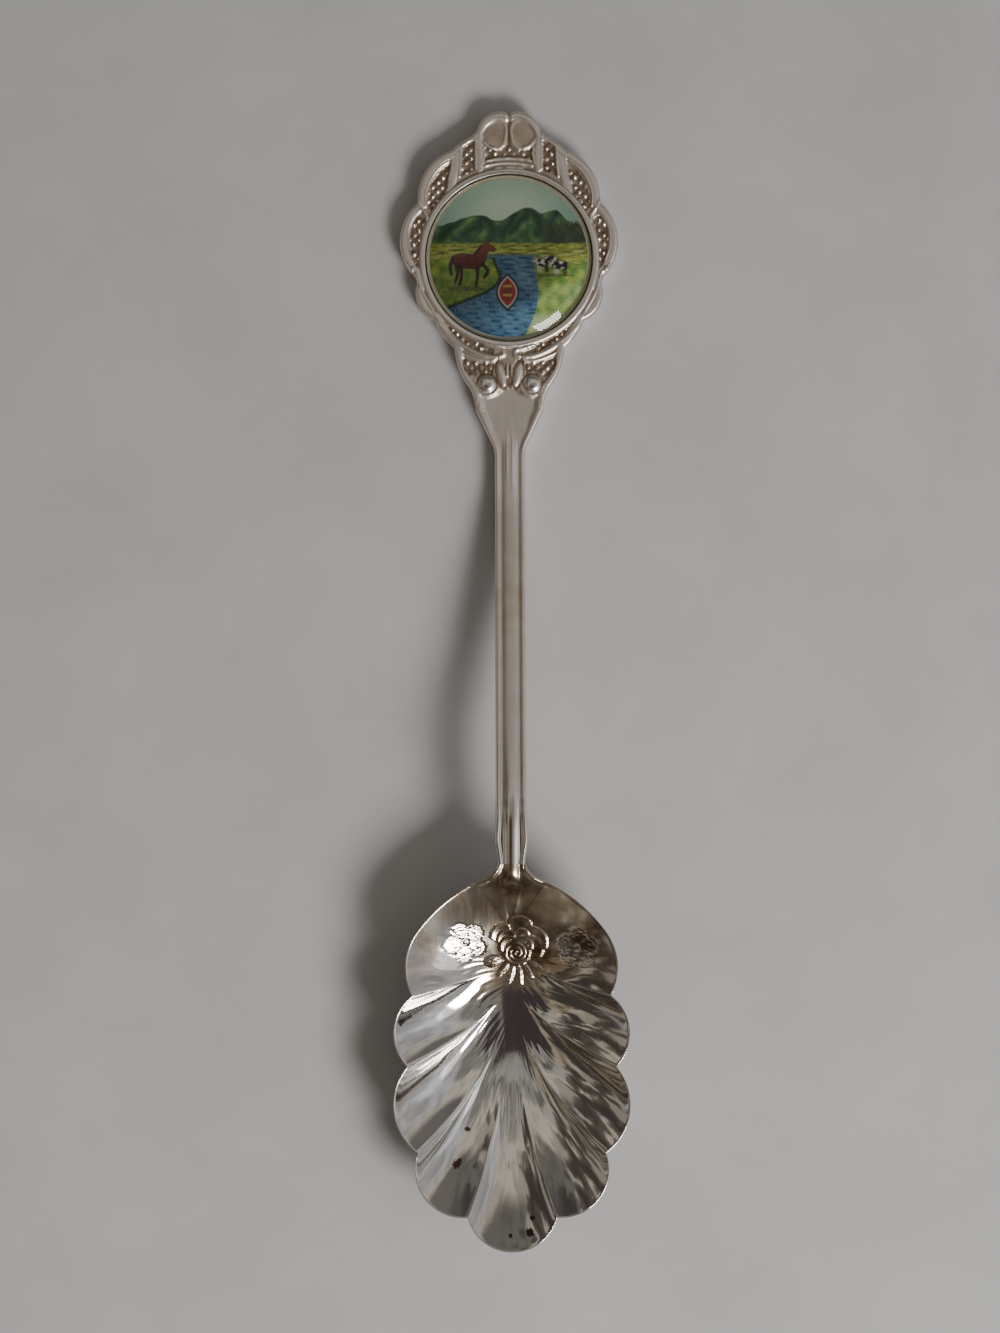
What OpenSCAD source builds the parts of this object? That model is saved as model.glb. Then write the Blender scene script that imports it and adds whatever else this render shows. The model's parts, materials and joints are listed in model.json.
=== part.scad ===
// Souvenir teaspoon: one stamped and plated blank with a fluted bowl and a cartouche head, and a
// picture disc that lies under a clear resin dome in the head's recess.
// Y runs along the spoon towards the head, +Z is up, and the origin is on the table under the middle.

/* [Overall] */
// Length from the bowl's tip to the top of the head
overall_len = 115; // [94:0.5:140]

/* [Bowl] */
// Length from the bowl's tip to its shoulders
bowl_len = 37.3; // [30:0.1:46]
// Width across the widest flutes
bowl_w = 23.8; // [19:0.1:29]
// Depth of the hollow below the middle of the rim
bowl_depth = 5.3; // [4:0.1:6.5]
// How much higher the rim is at the shoulders than at the tip
rim_rise = 1.3; // [0:0.1:2]
// Thickness of the bowl's wall
wall_t = 0.9; // [0.7:0.05:1.2]

/* [Stem] */
// Width of the straight part of the stem
stem_w = 3.05; // [2.4:0.05:3.8]
// Thickness of the stem
stem_t = 1.8; // [1.4:0.05:2.4]
// Height of the stem's threaded edges above the groove beside them
thread_h = 0.22; // [0.1:0.01:0.3]
// Slope of the stem where it leaves the bowl, in degrees
heel_slope = 8; // [4:0.5:12]

/* [Head] */
// Thickness of the head's plate
head_t = 1.6; // [1.3:0.05:2.2]
// Slope of the head towards its top, in degrees
head_tilt = 0; // [0:0.5:5]
// Width of the raised border along the head's outline
border_w = 0.7; // [0.4:0.05:0.9]
// Height of the raised border and the other relief
relief_h = 0.35; // [0.2:0.05:0.5]
// Width of the smooth bezel round the picture
bezel_w = 0.65; // [0.4:0.05:0.9]
// Radius of the two beads under the picture
bead_r = 0.95; // [0.7:0.05:1.1]

/* [Picture insert] */
// Diameter of the label and of the dome on it
insert_d = 16.8; // [13.5:0.1:20.5]
// Gap between the insert and the wall of its recess
insert_gap = 0.1; // [0.05:0.01:0.2]
// Depth of the recess below the top of the plate
recess_depth = 0.6; // [0.5:0.05:0.9]
// Width of the bare label round the printed picture
picture_margin = 0.4; // [0.2:0.05:0.8]
// Thickness of the adhesive under the label
glue_t = 0.1; // [0.05:0.01:0.15]
// Thickness of the white label
label_t = 0.25; // [0.15:0.01:0.3]
// Thickness of the printed film
picture_t = 0.08; // [0.05:0.01:0.1]
// Height of the dome's upright edge
dome_edge_h = 0.35; // [0.2:0.05:0.6]
// Height of the dome's crown above that edge
dome_crown_h = 1.0; // [0.6:0.05:1.6]

/* [Hidden] */

plate_metal = [0.72, 0.69, 0.66];

// Places along Y
y_tip = -overall_len / 2;
y_shoulder = y_tip + bowl_len;
neck_len = 1.8;
y_neck = y_shoulder + neck_len;

// The head is drawn flat, with the middle of the insert at its origin, and then tilted
recess_r = insert_d / 2 + insert_gap;
chord_angle = -77.6;
chord_reach = 7.37;

// The head's outline on the right: [angle, reach beyond the recess, bulge of the arc to the next point]
head_outline = [
    [90, 6.20, 0.25],
    [75.6, 4.61, 0.03],
    [62.1, 3.89, 0.17],
    [31.2, 2.31, 0.205],
    [-8.3, 1.56, -0.1],
    [-15.5, 1.20, 0.2],
    [-39.7, 1.37, 0.06],
    [-58.6, 2.16, 0.08],
    [-73.1, 5.29, -0.05],
    [chord_angle, chord_reach, 0]
];
head_arc_steps = 7;
// Ribs on the head's right: [angle, reach] where each starts and ends, the bulge of its arc, its width
head_ribs = [
    [76, 4.1, 70.5, 0.4, 0, 0.45],
    [62.5, 3.5, 58.5, 0.4, 0, 0.45],
    [56, 2.75, 34, 1.45, 0.15, 0.35],
    [-19, 0.3, -55, 1.45, 0.12, 0.45],
    [-80, 0.3, -93, 1.9, 0.1, 0.4],
    [-66, 1.2, -84, 3.1, 0.12, 0.35]
];

// The bowl's outline on the right, from the shoulder: [share of the half width, share of the length, bulge]
bowl_outline = [
    [0.29, 1, 0.06],
    [0.773, 0.874, 0.153],
    [0.84, 0.692, 0.225],
    [0.882, 0.501, 0.217],
    [0.794, 0.268, 0.275],
    [0.378, 0.094, 0.172],
    [0, 0, 0]
];
bowl_arc_steps = 8;
shoulder_bulge = -0.13;
shoulder_steps = 4;
// Shares of each ray from the bowl's spine to its outline where the surface has a ring of points
bowl_rings = [0, 0.16, 0.3, 0.42, 0.53, 0.63, 0.73, 0.82, 0.9, 0.96, 1];

// The spine is the line in the bowl's floor where the flutes start
spine_top = y_shoulder - 0.13 * bowl_len;
spine_end = y_tip + 0.575 * bowl_len;

// The bowl's floor is a paraboloid round this point, with these half axes at the rim
bowl_mid = y_tip + 0.53 * bowl_len;
floor_a = 0.92 * bowl_w / 2;
floor_b = 0.5 * bowl_len;
heel_blend = 0.9;
heel_overshoot = 0.9;
heel_side_rise = 0.25;
heel_far_rise = 0.02;
heel_thick_len = 4;
// The flutes start at this share of the way from the spine to the outline, and go from straight to
// bent over this length past the spine
flute_start = 0.16;
vein_bend_len = 6;

// Shares of the stem's half width: middle band, groove, threaded edge; and how high each lies
stem_columns = [0, 0.28, 0.5, 0.62, 0.72, 0.86, 1];
stem_section = [[0, 0.7], [0.28, 0.6], [0.5, 0.25], [0.62, 0], [0.72, 0.6], [0.86, 1], [1, 0.7]];

function mix(a, b, t) = a + (b - a) * t;
function clamp01(t) = min(max(t, 0), 1);
function smooth_step(a, b, t) = let (u = clamp01((t - a) / (b - a))) u * u * (3 - 2 * u);
function smooth_min(a, b, k) = let (h = max(k - abs(a - b), 0) / k) min(a, b) - h * h * h * k / 6;
function smooth_max(a, b, k) = -smooth_min(-a, -b, k);

// Points of the arc from p towards q, without q. bulge is its rise to the left over its chord.
function arc(p, q, bulge, steps) =
    let (
        chord = norm(q - p),
        along = (q - p) / chord,
        side = [-along[1], along[0]],
        half = 2 * atan(2 * (bulge == 0 ? 0.0005 : bulge)),
        radius = chord / 2 / sin(half),
        middle = (p + q) / 2 - side * radius * cos(half)
    )
    [for (i = [0 : steps - 1])
        i == 0 ? p : let (a = mix(-half, half, i / steps)) middle + radius * (side * cos(a) + along * sin(a))];

// A chain of arcs through points that each end with their bulge, with the last point
function arc_chain(nodes, steps) = concat(
    [for (i = [0 : len(nodes) - 2])
        each arc([nodes[i][0], nodes[i][1]], [nodes[i + 1][0], nodes[i + 1][1]], nodes[i][2], steps)],
    [[nodes[len(nodes) - 1][0], nodes[len(nodes) - 1][1]]]
);

// A point on the flat head at this angle, this far beyond the recess's wall
function head_point(angle, reach) = (recess_r + reach) * [cos(angle), sin(angle)];
// The outline's points drawn in: towards the middle, and sideways at the chord the stem runs into
function head_nodes(inset) = [for (n = head_outline)
    let (p = n[0] == chord_angle
        ? head_point(n[0], n[1]) - [inset, 0]
        : head_point(n[0], n[1] - inset))
    [p[0], p[1], n[2]]];
function mirrored(points) = [for (i = [len(points) - 1 : -1 : 0]) [-points[i][0], points[i][1]]];

// The crests beside the middle of the head's top are its far end, on which a tilted head rests
head_top_r = max([for (p = arc_chain(head_nodes(0), head_arc_steps)) p[1]]);
y_head = overall_len / 2 - head_top_r * cos(head_tilt) - (head_t + relief_h) * sin(head_tilt);
z_head = head_top_r * sin(head_tilt);
chord_half = head_point(chord_angle, chord_reach)[0];
chord_y = head_point(chord_angle, chord_reach)[1];
y_chord = y_head + chord_y * cos(head_tilt) + head_t * sin(head_tilt);
flare_len = 3.9;
y_flare = y_chord - flare_len;

// Height of the head's top face, or of that plane carried on towards the bowl
function head_plane(y) = z_head + head_t / cos(head_tilt) - (y - y_head) * tan(head_tilt);
z_neck = wall_t + bowl_depth + rim_rise / 2 + 0.55;
function heel_line(y) = z_neck + (y - y_neck) * tan(heel_slope);
y_peak = y_neck + 0.14 * (y_flare - y_neck);
y_foot = y_flare - 0.12 * (y_flare - y_neck);
stem_fall = (heel_line(y_peak) - head_plane(y_foot)) / (y_foot - y_peak);
function stem_line(y) = head_plane(y_foot) + (y_foot - y) * stem_fall;
foot_blend = 0.5;
peak_blend = 1.6;
function handle_z(y) =
    smooth_min(smooth_max(head_plane(y), stem_line(y), foot_blend), heel_line(y), peak_blend);

// Half width of the handle from the neck, over the knot beside it and the straight stem, to the head
stem_widths = [
    [y_neck, 0.455 * stem_w],
    [y_neck + 1.2, 0.5 * stem_w],
    [y_neck + 2.2, 0.567 * stem_w],
    [y_neck + 4.2, 0.52 * stem_w],
    [y_neck + 7, 0.5 * stem_w],
    [y_flare, 0.5 * stem_w],
    [y_chord, chord_half]
];
neck_half = lookup(y_neck, stem_widths);
// Height of the stem's section over its mean, which turns into the head's border at the chord
function section_z(share, y) = mix(
    (lookup(share, stem_section) - 0.35) * thread_h * smooth_step(y_neck, y_neck + 3, y),
    share > stem_columns[len(stem_columns) - 3] ? relief_h : 0,
    smooth_step(y_flare - 1, y_chord, y));

// The bowl's floor before its flutes, and its rim
function floor_z(p) =
    wall_t + bowl_depth * (pow(p[0] / floor_a, 2) + pow((p[1] - bowl_mid) / floor_b, 2));
function floor_stretch(p) =
    sqrt(1 + pow(2 * bowl_depth * p[0] / floor_a / floor_a, 2)
        + pow(2 * bowl_depth * (p[1] - bowl_mid) / floor_b / floor_b, 2));
function rim_z(p) = wall_t + bowl_depth + rim_rise * ((p[1] - y_tip) / bowl_len - 0.5)
    + clamp01((p[1] - y_shoulder) / neck_len)
        * (z_neck + heel_overshoot - wall_t - bowl_depth - rim_rise * (0.5 + neck_len / bowl_len));

// Height of the handle's surface carried over the bowl, rising beside the neck and past the heel
function heel_z(p) = handle_z(p[1]) + heel_side_rise * pow(max(0, p[0] - neck_half), 2)
    + heel_far_rise * pow(max(0, spine_top - p[1]), 2);

// The top of the bowl at p, which is a share of the way along its ray to the outline at o
function bowl_z(p, o, share) = smooth_min(
    floor_z(p) - smooth_step(flute_start, 1, share) * (floor_z(o) - rim_z(o)), heel_z(p), heel_blend);
function bowl_t(p) = mix(wall_t * floor_stretch(p), stem_t, smooth_step(y_neck - heel_thick_len, y_neck, p[1]));

bowl_edge = concat(
    [for (c = stem_columns) if (c < 1) [c * neck_half, y_neck]],
    arc([neck_half, y_neck], [bowl_outline[0][0] * bowl_w / 2, y_shoulder], shoulder_bulge, shoulder_steps),
    arc_chain([for (n = bowl_outline) [n[0] * bowl_w / 2, y_tip + n[1] * bowl_len, n[2]]], bowl_arc_steps)
);
edge_len = [for (i = 0, s = 0; i < len(bowl_edge);
    s = s + (i + 1 < len(bowl_edge) ? norm(bowl_edge[i + 1] - bowl_edge[i]) : 0), i = i + 1) s];
// Where each ray leaves the spine; the last two leave it from its end
function spine_y(i) = mix(spine_top, spine_end, min(1, edge_len[i] / edge_len[len(edge_len) - 2]));

// A point on the way from the spine at y to the outline at o. Ways towards the tip leave the spine
// along it and bend outwards, as the veins of a leaf do
function on_vein(y, o, share) =
    let (bend = (1 - share) * smooth_step(0, vein_bend_len, y - o[1]))
    [o[0] * share * (1 - 0.5 * bend), y + (o[1] - y) * share * (1 + 0.2 * bend)];

// Columns of [x, y, top, bottom]: each of the bowl's rays, then each of the stem's cross rows
bowl_grid = [for (i = [0 : len(bowl_edge) - 1])
    [for (share = bowl_rings)
        let (
            o = bowl_edge[i],
            p = share == 1 ? o : on_vein(spine_y(i), o, share),
            z = bowl_z(p, o, share)
        )
        [p[0], p[1], z, z - bowl_t(p)]]];
lap = 0.3;
stem_rows = concat(
    [for (d = [0, 1.2, 2.2, 3.2, 4.2, 5.6]) y_neck + d],
    [for (i = [0 : 10]) mix(y_neck + 7, y_flare, i / 10)],
    [for (i = [1 : 3]) mix(y_flare, y_chord, i / 3)]
);
stem_grid = concat(
    [for (y = stem_rows)
        let (
            half = lookup(y, stem_widths),
            back = handle_z(y) - mix(stem_t, head_t, smooth_step(y_neck, y_foot, y))
        )
        [for (c = stem_columns) [c * half, y, handle_z(y) + section_z(c, y), back]]],
    // The lap that runs into the head's plate, a little inside its faces
    [[for (c = stem_columns)
        let (z = handle_z(y_chord + lap) - 0.05)
        [c * chord_half * 0.9, y_chord + lap, z, z - head_t + 0.1]]]
);

function top(v) = [v[0], v[1], v[2]];
function bottom(v) = [v[0], v[1], v[3]];
function flipped(quad) = [quad[0], quad[3], quad[2], quad[1]];
function mirror_quad(quad) = [for (p = flipped(quad)) [-p[0], p[1], p[2]]];
// The quads of a grid's top and bottom; rising is true where its columns turn the other way
function skin(grid, rising) = [for (i = [0 : len(grid) - 2]) for (j = [0 : len(grid[i]) - 2])
    let (q = [grid[i][j], grid[i + 1][j], grid[i + 1][j + 1], grid[i][j + 1]], t = [for (v = q) top(v)],
        b = [for (v = q) bottom(v)])
    each rising ? [t, flipped(b)] : [flipped(t), b]];
function wall(edge) = [for (i = [0 : len(edge) - 2])
    [top(edge[i]), bottom(edge[i]), bottom(edge[i + 1]), top(edge[i + 1])]];

last_ring = len(bowl_rings) - 1;
last_column = len(stem_columns) - 1;
bowl_rim = [for (i = [last_column : len(bowl_grid) - 1]) bowl_grid[i][last_ring]];
stem_side = [for (i = [len(stem_grid) - 1 : -1 : 0]) stem_grid[i][last_column]];
stem_end = stem_grid[len(stem_grid) - 1];

// The bowl, neck and stem as one stamped sheet
module stamped_sheet() {
    half = concat(
        [for (q = skin(bowl_grid, true)) flipped(q)],
        [for (q = skin(stem_grid, true)) flipped(q)],
        wall(concat(stem_end, [for (i = [1 : len(stem_side) - 1]) stem_side[i]],
            [for (i = [1 : len(bowl_rim) - 1]) bowl_rim[i]]))
    );
    quads = concat(half, [for (q = half) mirror_quad(q)]);
    triangles = [for (q = quads) each [[q[0], q[1], q[2]], [q[0], q[2], q[3]]]];
    solid = [for (t = triangles) if (t[0] != t[1] && t[1] != t[2] && t[2] != t[0]) t];
    polyhedron([for (t = solid) each t], [for (i = [0 : len(solid) - 1]) [3 * i, 3 * i + 1, 3 * i + 2]]);
}

module head_shape(inset) {
    right = arc_chain(head_nodes(inset), head_arc_steps);
    polygon(concat(right, [for (p = mirrored(right)) if (p[0] != 0) p]));
}

// What the raised border leaves open: the outline drawn in by its width, and the way to the stem
module border_opening() {
    head_shape(border_w);
    polygon([for (side = [-1, 1]) for (end = side * [1, -1])
        [side * (chord_half - border_w), chord_y + end]]);
}

// A raised rib along an arc
module rib(r) {
    from = head_point(r[0], r[1]);
    to = head_point(r[2], r[3]);
    side = [from[1] - to[1], to[0] - from[0]] / norm(to - from) * r[5] / 2;
    linear_extrude(relief_h)
        polygon(concat(arc(from + side, to + side, r[4], 8), [to + side],
            arc(to - side, from - side, -r[4], 8), [from - side]));
}

module bezel_ring() {
    rotate_extrude($fn = 96)
        translate([recess_r, -0.2])
            square([bezel_w, relief_h + 0.2]);
}

// A raised tongue at the head's top: a rounded slab beside the middle line
module tongue() {
    outline = arc_chain([
        [0.25, recess_r + 2.2, 0.2], [3.0, recess_r + 2.6, 0.12], [2.3, recess_r + 5.2, 0.2], [0.25, recess_r + 5.4, 0]
    ], 6);
    linear_extrude(relief_h)
        polygon(outline);
}

// A leaf that hangs under the bezel beside the middle line
module leaf() {
    tip = head_point(-86.5, 4.6);
    root = head_point(-85.6, 1.9);
    linear_extrude(relief_h)
        polygon(concat(arc(root, tip, 0.2, 8), arc(tip, root, 0.2, 8)));
}

module both_sides() {
    children();
    mirror([1, 0, 0])
        children();
}

module head_plate() {
    linear_extrude(head_t)
        head_shape(0);
    translate([0, 0, head_t]) {
        difference() {
            linear_extrude(relief_h)
                head_shape(0);
            translate([0, 0, -1])
                linear_extrude(relief_h + 2)
                    border_opening();
        }
        bezel_ring();
        both_sides() {
            tongue();
            leaf();
            for (r = head_ribs)
                rib(r);
            translate(concat(head_point(-79.6, 4.25), [-0.25 * bead_r]))
                sphere(bead_r, $fn = 32);
        }
    }
}

// Puts what is drawn on the flat head, with z = 0 at its back, in its place on the spoon
module on_head() {
    translate([0, y_head, z_head])
        rotate([-head_tilt, 0, 0])
            children();
}

module spoon_blank() {
    color(plate_metal)
        difference() {
            union() {
                stamped_sheet();
                on_head()
                    head_plate();
            }
            on_head()
                translate([0, 0, head_t - recess_depth])
                    cylinder(r = recess_r, h = recess_depth + relief_h + 1, $fn = 96);
        }
}

// The insert's layers are discs stacked from the recess's floor
z_glue = head_t - recess_depth;
z_label = z_glue + glue_t;
z_picture = z_label + label_t;

module adhesive_film() {
    color([0.85, 0.82, 0.7])
        on_head()
            translate([0, 0, z_glue])
                cylinder(d = insert_d - 0.4, h = glue_t, $fn = 96);
}

module label_disc() {
    color([0.93, 0.92, 0.86])
        on_head()
            translate([0, 0, z_label])
                cylinder(d = insert_d, h = label_t, $fn = 96);
}

module picture_film() {
    color([0.25, 0.5, 0.35])
        on_head()
            translate([0, 0, z_picture])
                cylinder(d = insert_d - 2 * picture_margin, h = picture_t, $fn = 96);
}

// A lens of resin: an upright edge, then a crown that flattens towards the middle
module clear_dome() {
    steps = 14;
    crown = [for (i = [0 : steps])
        let (share = sin(90 * i / steps))
        [insert_d / 2 * share, dome_edge_h + dome_crown_h * sqrt(max(0, 1 - pow(share, 2.4)))]];
    color([0.9, 0.95, 0.95, 0.35])
        on_head()
            translate([0, 0, z_picture])
                difference() {
                    rotate_extrude($fn = 96)
                        polygon(concat([[0, 0]], crown, [[insert_d / 2, 0]]));
                    translate([0, 0, -1])
                        cylinder(d = insert_d - 2 * picture_margin, h = picture_t + 1, $fn = 96);
                }
}

spoon_blank();
adhesive_film();
label_disc();
picture_film();
clear_dome();
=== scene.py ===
"""Looks of the souvenir teaspoon: a worn silver-plated blank, and a picture under a clear dome."""

import json
import math

import bmesh
import bpy
import numpy as np
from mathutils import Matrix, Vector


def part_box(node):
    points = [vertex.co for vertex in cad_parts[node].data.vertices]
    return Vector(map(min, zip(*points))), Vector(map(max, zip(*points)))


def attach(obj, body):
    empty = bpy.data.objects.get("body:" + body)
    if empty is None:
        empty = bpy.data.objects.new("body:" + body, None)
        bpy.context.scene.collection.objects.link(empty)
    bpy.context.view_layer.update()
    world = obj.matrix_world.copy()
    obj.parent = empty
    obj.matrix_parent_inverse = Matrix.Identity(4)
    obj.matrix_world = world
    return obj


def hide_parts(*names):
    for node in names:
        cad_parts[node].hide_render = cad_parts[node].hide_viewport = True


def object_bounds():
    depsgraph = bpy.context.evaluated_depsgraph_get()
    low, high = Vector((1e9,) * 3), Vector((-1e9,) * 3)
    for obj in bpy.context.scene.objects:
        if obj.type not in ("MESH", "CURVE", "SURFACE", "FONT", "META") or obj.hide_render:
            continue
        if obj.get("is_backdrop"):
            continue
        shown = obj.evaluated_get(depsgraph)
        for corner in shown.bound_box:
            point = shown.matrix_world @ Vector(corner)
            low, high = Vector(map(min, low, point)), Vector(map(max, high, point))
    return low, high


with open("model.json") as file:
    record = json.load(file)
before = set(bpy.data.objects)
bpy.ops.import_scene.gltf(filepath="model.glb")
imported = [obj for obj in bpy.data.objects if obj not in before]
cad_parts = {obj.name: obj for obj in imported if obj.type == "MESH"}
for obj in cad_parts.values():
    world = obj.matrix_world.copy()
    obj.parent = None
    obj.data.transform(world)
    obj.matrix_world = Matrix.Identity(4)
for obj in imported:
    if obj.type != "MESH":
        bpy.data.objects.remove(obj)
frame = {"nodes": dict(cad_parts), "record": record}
cad_low, cad_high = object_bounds()

# Lengths are in millimetres until a mesh is written
MM = 0.001

# ---- the CAD model's places and sizes
LOW, HIGH = ([c / MM for c in corner] for corner in (cad_low, cad_high))
MOUNTS = {m["name"]: m for m in frame["record"]["mounts"]}
# The head lies flat, and this is the place on its back under the insert's middle
Y_HEAD, Z_HEAD = (c / MM for c in MOUNTS["head_back"]["pos_m"][1:])
BOXES = (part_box(node) for node in ("label_disc", "picture_film"))
INSERT_R, PICTURE_R = ((high[0] / MM - low[0] / MM) / 2 for low, high in BOXES)
INSERT_GAP = 0.1
RECESS_R = INSERT_R + INSERT_GAP

Y_TIP = LOW[1]
BOWL_LEN = 37.3
BOWL_W = HIGH[0] - LOW[0]
# The bowl's floor is drawn for this half width
FLOOR_HALF_W = 11.9
BOWL_DEPTH = 5.3
RIM_RISE = 1.3
WALL_T = 0.9
STEM_W = 3.05
STEM_HALF = STEM_W / 2
STEM_T = 1.8
HEAD_T = 1.6
RECESS_DEPTH = 0.6
RECESS_Z = HEAD_T - RECESS_DEPTH
RELIEF_H = 0.35
BEZEL_H = RELIEF_H - 0.05
BEZEL_W = 0.65
GLUE_AND_LABEL_T = 0.35
Z_PICTURE = RECESS_Z + GLUE_AND_LABEL_T
PICTURE_T = 0.08
DOME_EDGE_H = 0.35
DOME_CROWN_H = 1.0
DOME_LIP_H = 0.12

Y_SHOULDER = Y_TIP + BOWL_LEN
NECK_LEN = 1.8
Y_NECK = Y_SHOULDER + NECK_LEN
SPINE_TOP = Y_SHOULDER - 0.13 * BOWL_LEN
SPINE_END = Y_TIP + 0.575 * BOWL_LEN
BOWL_MID = Y_TIP + 0.53 * BOWL_LEN
# Half axes of the paraboloid that the bowl's floor follows
FLOOR_A = 0.92 * FLOOR_HALF_W
FLOOR_B = 0.5 * BOWL_LEN

# (angle in degrees, reach beyond the recess, bulge of the arc to the next point), at the right half
HEAD_OUTLINE = [
    (90, 6.20, 0.25),
    (75.6, 4.61, 0.03),
    (62.1, 3.89, 0.17),
    (31.2, 2.31, 0.205),
    (-8.3, 1.56, -0.1),
    (-15.5, 1.20, 0.2),
    (-39.7, 1.37, 0.06),
    (-58.6, 2.16, 0.08),
    (-73.1, 5.29, -0.05),
    (-77.6, 7.37, 0),
]
# (share of the bowl's half width, share of its length, bulge of the arc to the next point)
BOWL_OUTLINE = [
    (0.29, 1, 0.06),
    (0.773, 0.874, 0.153),
    (0.84, 0.692, 0.225),
    (0.882, 0.501, 0.217),
    (0.794, 0.268, 0.275),
    (0.378, 0.094, 0.172),
    (0, 0, 0),
]


def mix(a, b, t):
    return a + (b - a) * t


def step(a, b, t):
    u = np.clip((np.asarray(t, float) - a) / (b - a), 0, 1)
    return u * u * (3 - 2 * u)


def smooth_min(a, b, k):
    h = np.maximum(k - np.abs(a - b), 0) / k
    return np.minimum(a, b) - h * h * h * k / 6


def smooth_max(a, b, k):
    return -smooth_min(-a, -b, k)


# A straight stretch is drawn as an arc that bulges by so little
FLAT_BULGE = 0.0005
# The neck's sides curve in between the stem and the bowl's shoulder
NECK_BULGE = -0.13


def arc(p, q, bulge, steps):
    """Points of the arc from p towards q, without q; bulge is its rise to the left over its chord."""
    p, q = np.asarray(p, float), np.asarray(q, float)
    chord = np.linalg.norm(q - p)
    along = (q - p) / chord
    side = np.array([-along[1], along[0]])
    half = 2 * math.atan(2 * (bulge or FLAT_BULGE))
    radius = chord / 2 / math.sin(half)
    middle = (p + q) / 2 - side * radius * math.cos(half)
    a = np.linspace(-half, half, steps + 1)[:-1, None]
    return middle + radius * (side * np.cos(a) + along * np.sin(a))


def chain(nodes, steps):
    """Arcs through (x, y, bulge) nodes, with the last point; steps is a number, or one for each arc."""
    counts = np.broadcast_to(steps, len(nodes) - 1)
    parts = [arc(a[:2], b[:2], a[2], int(n)) for a, b, n in zip(nodes, nodes[1:], counts)]
    return np.vstack(parts + [np.array([nodes[-1][:2]], float)])


def polar(angle, reach):
    r = RECESS_R + reach
    return r * math.cos(math.radians(angle)), r * math.sin(math.radians(angle))


head_right = chain([(*polar(a, reach), bulge) for a, reach, bulge in HEAD_OUTLINE], 30)
CHORD_HALF, CHORD_Y = head_right[-1]
Y_CHORD = Y_HEAD + CHORD_Y
FLARE_LEN = 3.9
Y_FLARE = Y_CHORD - FLARE_LEN
NECK_HALF = 0.455 * STEM_W
# The knot at the neck, the straight stem and the flare: (y, half width)
STEM_WIDTHS = np.array([
    (Y_NECK, NECK_HALF),
    (Y_NECK + 1.2, 0.5 * STEM_W),
    (Y_NECK + 2.2, 0.567 * STEM_W),
    (Y_NECK + 4.2, 0.52 * STEM_W),
    (Y_NECK + 7, STEM_HALF),
    (Y_FLARE, STEM_HALF),
    (Y_CHORD, CHORD_HALF),
])


def stem_half(y):
    """Half width of the stem, with the corners of the CAD model's straight stretches eased."""
    reach = np.minimum(1, np.minimum(np.abs(y - Y_NECK), np.abs(y - Y_CHORD)))
    shifts = (-0.5, -0.25, 0, 0.25, 0.5)
    total = 0
    for shift in shifts:
        total = total + np.interp(np.clip(y + shift * reach, Y_NECK, Y_CHORD), *STEM_WIDTHS.T)
    return total / len(shifts)


# ---- heights of the sheet's top face
HEAD_TOP = Z_HEAD + HEAD_T
Z_NECK = WALL_T + BOWL_DEPTH + RIM_RISE / 2 + 0.55
HEEL_SLOPE = math.tan(math.radians(8))
# The arch's highest place, and the place where it comes down to the flat head
Y_PEAK = Y_NECK + 0.14 * (Y_FLARE - Y_NECK)
Y_FOOT = Y_FLARE - 0.12 * (Y_FLARE - Y_NECK)


def heel_line(y):
    return Z_NECK + (y - Y_NECK) * HEEL_SLOPE


STEM_FALL = (heel_line(Y_PEAK) - HEAD_TOP) / (Y_FOOT - Y_PEAK)


def handle_z(y):
    fall = HEAD_TOP + (Y_FOOT - y) * STEM_FALL
    return smooth_min(smooth_max(HEAD_TOP, fall, 0.5), heel_line(y), 1.6)


def floor_z(x, y):
    return WALL_T + BOWL_DEPTH * ((x / FLOOR_A) ** 2 + ((y - BOWL_MID) / FLOOR_B) ** 2)


def floor_stretch(x, y):
    dx = 2 * BOWL_DEPTH * x / FLOOR_A**2
    dy = 2 * BOWL_DEPTH * (y - BOWL_MID) / FLOOR_B**2
    return np.sqrt(1 + dx * dx + dy * dy)


def rim_z(y):
    level = WALL_T + BOWL_DEPTH + RIM_RISE * ((y - Y_TIP) / BOWL_LEN - 0.5)
    neck = Z_NECK + 0.9 - WALL_T - BOWL_DEPTH - RIM_RISE * (0.5 + NECK_LEN / BOWL_LEN)
    return level + np.clip((y - Y_SHOULDER) / NECK_LEN, 0, 1) * neck


def heel_z(x, y):
    beside = 0.25 * np.maximum(0, np.abs(x) - NECK_HALF) ** 2
    return handle_z(y) + beside + 0.02 * np.maximum(0, SPINE_TOP - y) ** 2


def on_vein(sy, ox, oy, share):
    """A point on the way from the spine to the outline, which bends outwards as a leaf's veins do."""
    bend = (1 - share) * step(0, 6, sy - oy)
    return ox * share * (1 - 0.5 * bend), sy + (oy - sy) * share * (1 + 0.2 * bend)


def bowl_z(x, y, ox, oy, share):
    flute = floor_z(x, y) - step(0.16, 1, share) * (floor_z(ox, oy) - rim_z(oy))
    return smooth_min(flute, heel_z(x, y), 0.9)


def edge_drop(e, radius):
    """How far a rounded edge lies below its face, at a distance e inside the outline."""
    u = np.clip(e / radius, 0, 1)
    return radius * (1 - np.sqrt(np.clip(1 - (1 - u) ** 2, 0, 1)))


# ---- relief
def distance(x, y, points):
    """Distance from each (x, y) to a chain of points."""
    best = np.full(np.shape(x), 1e9)
    for (ax, ay), (bx, by) in zip(points[:-1], points[1:]):
        dx, dy = bx - ax, by - ay
        t = np.clip(((x - ax) * dx + (y - ay) * dy) / (dx * dx + dy * dy + 1e-12), 0, 1)
        best = np.minimum(best, (x - ax - t * dx) ** 2 + (y - ay - t * dy) ** 2)
    return np.sqrt(best)


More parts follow.
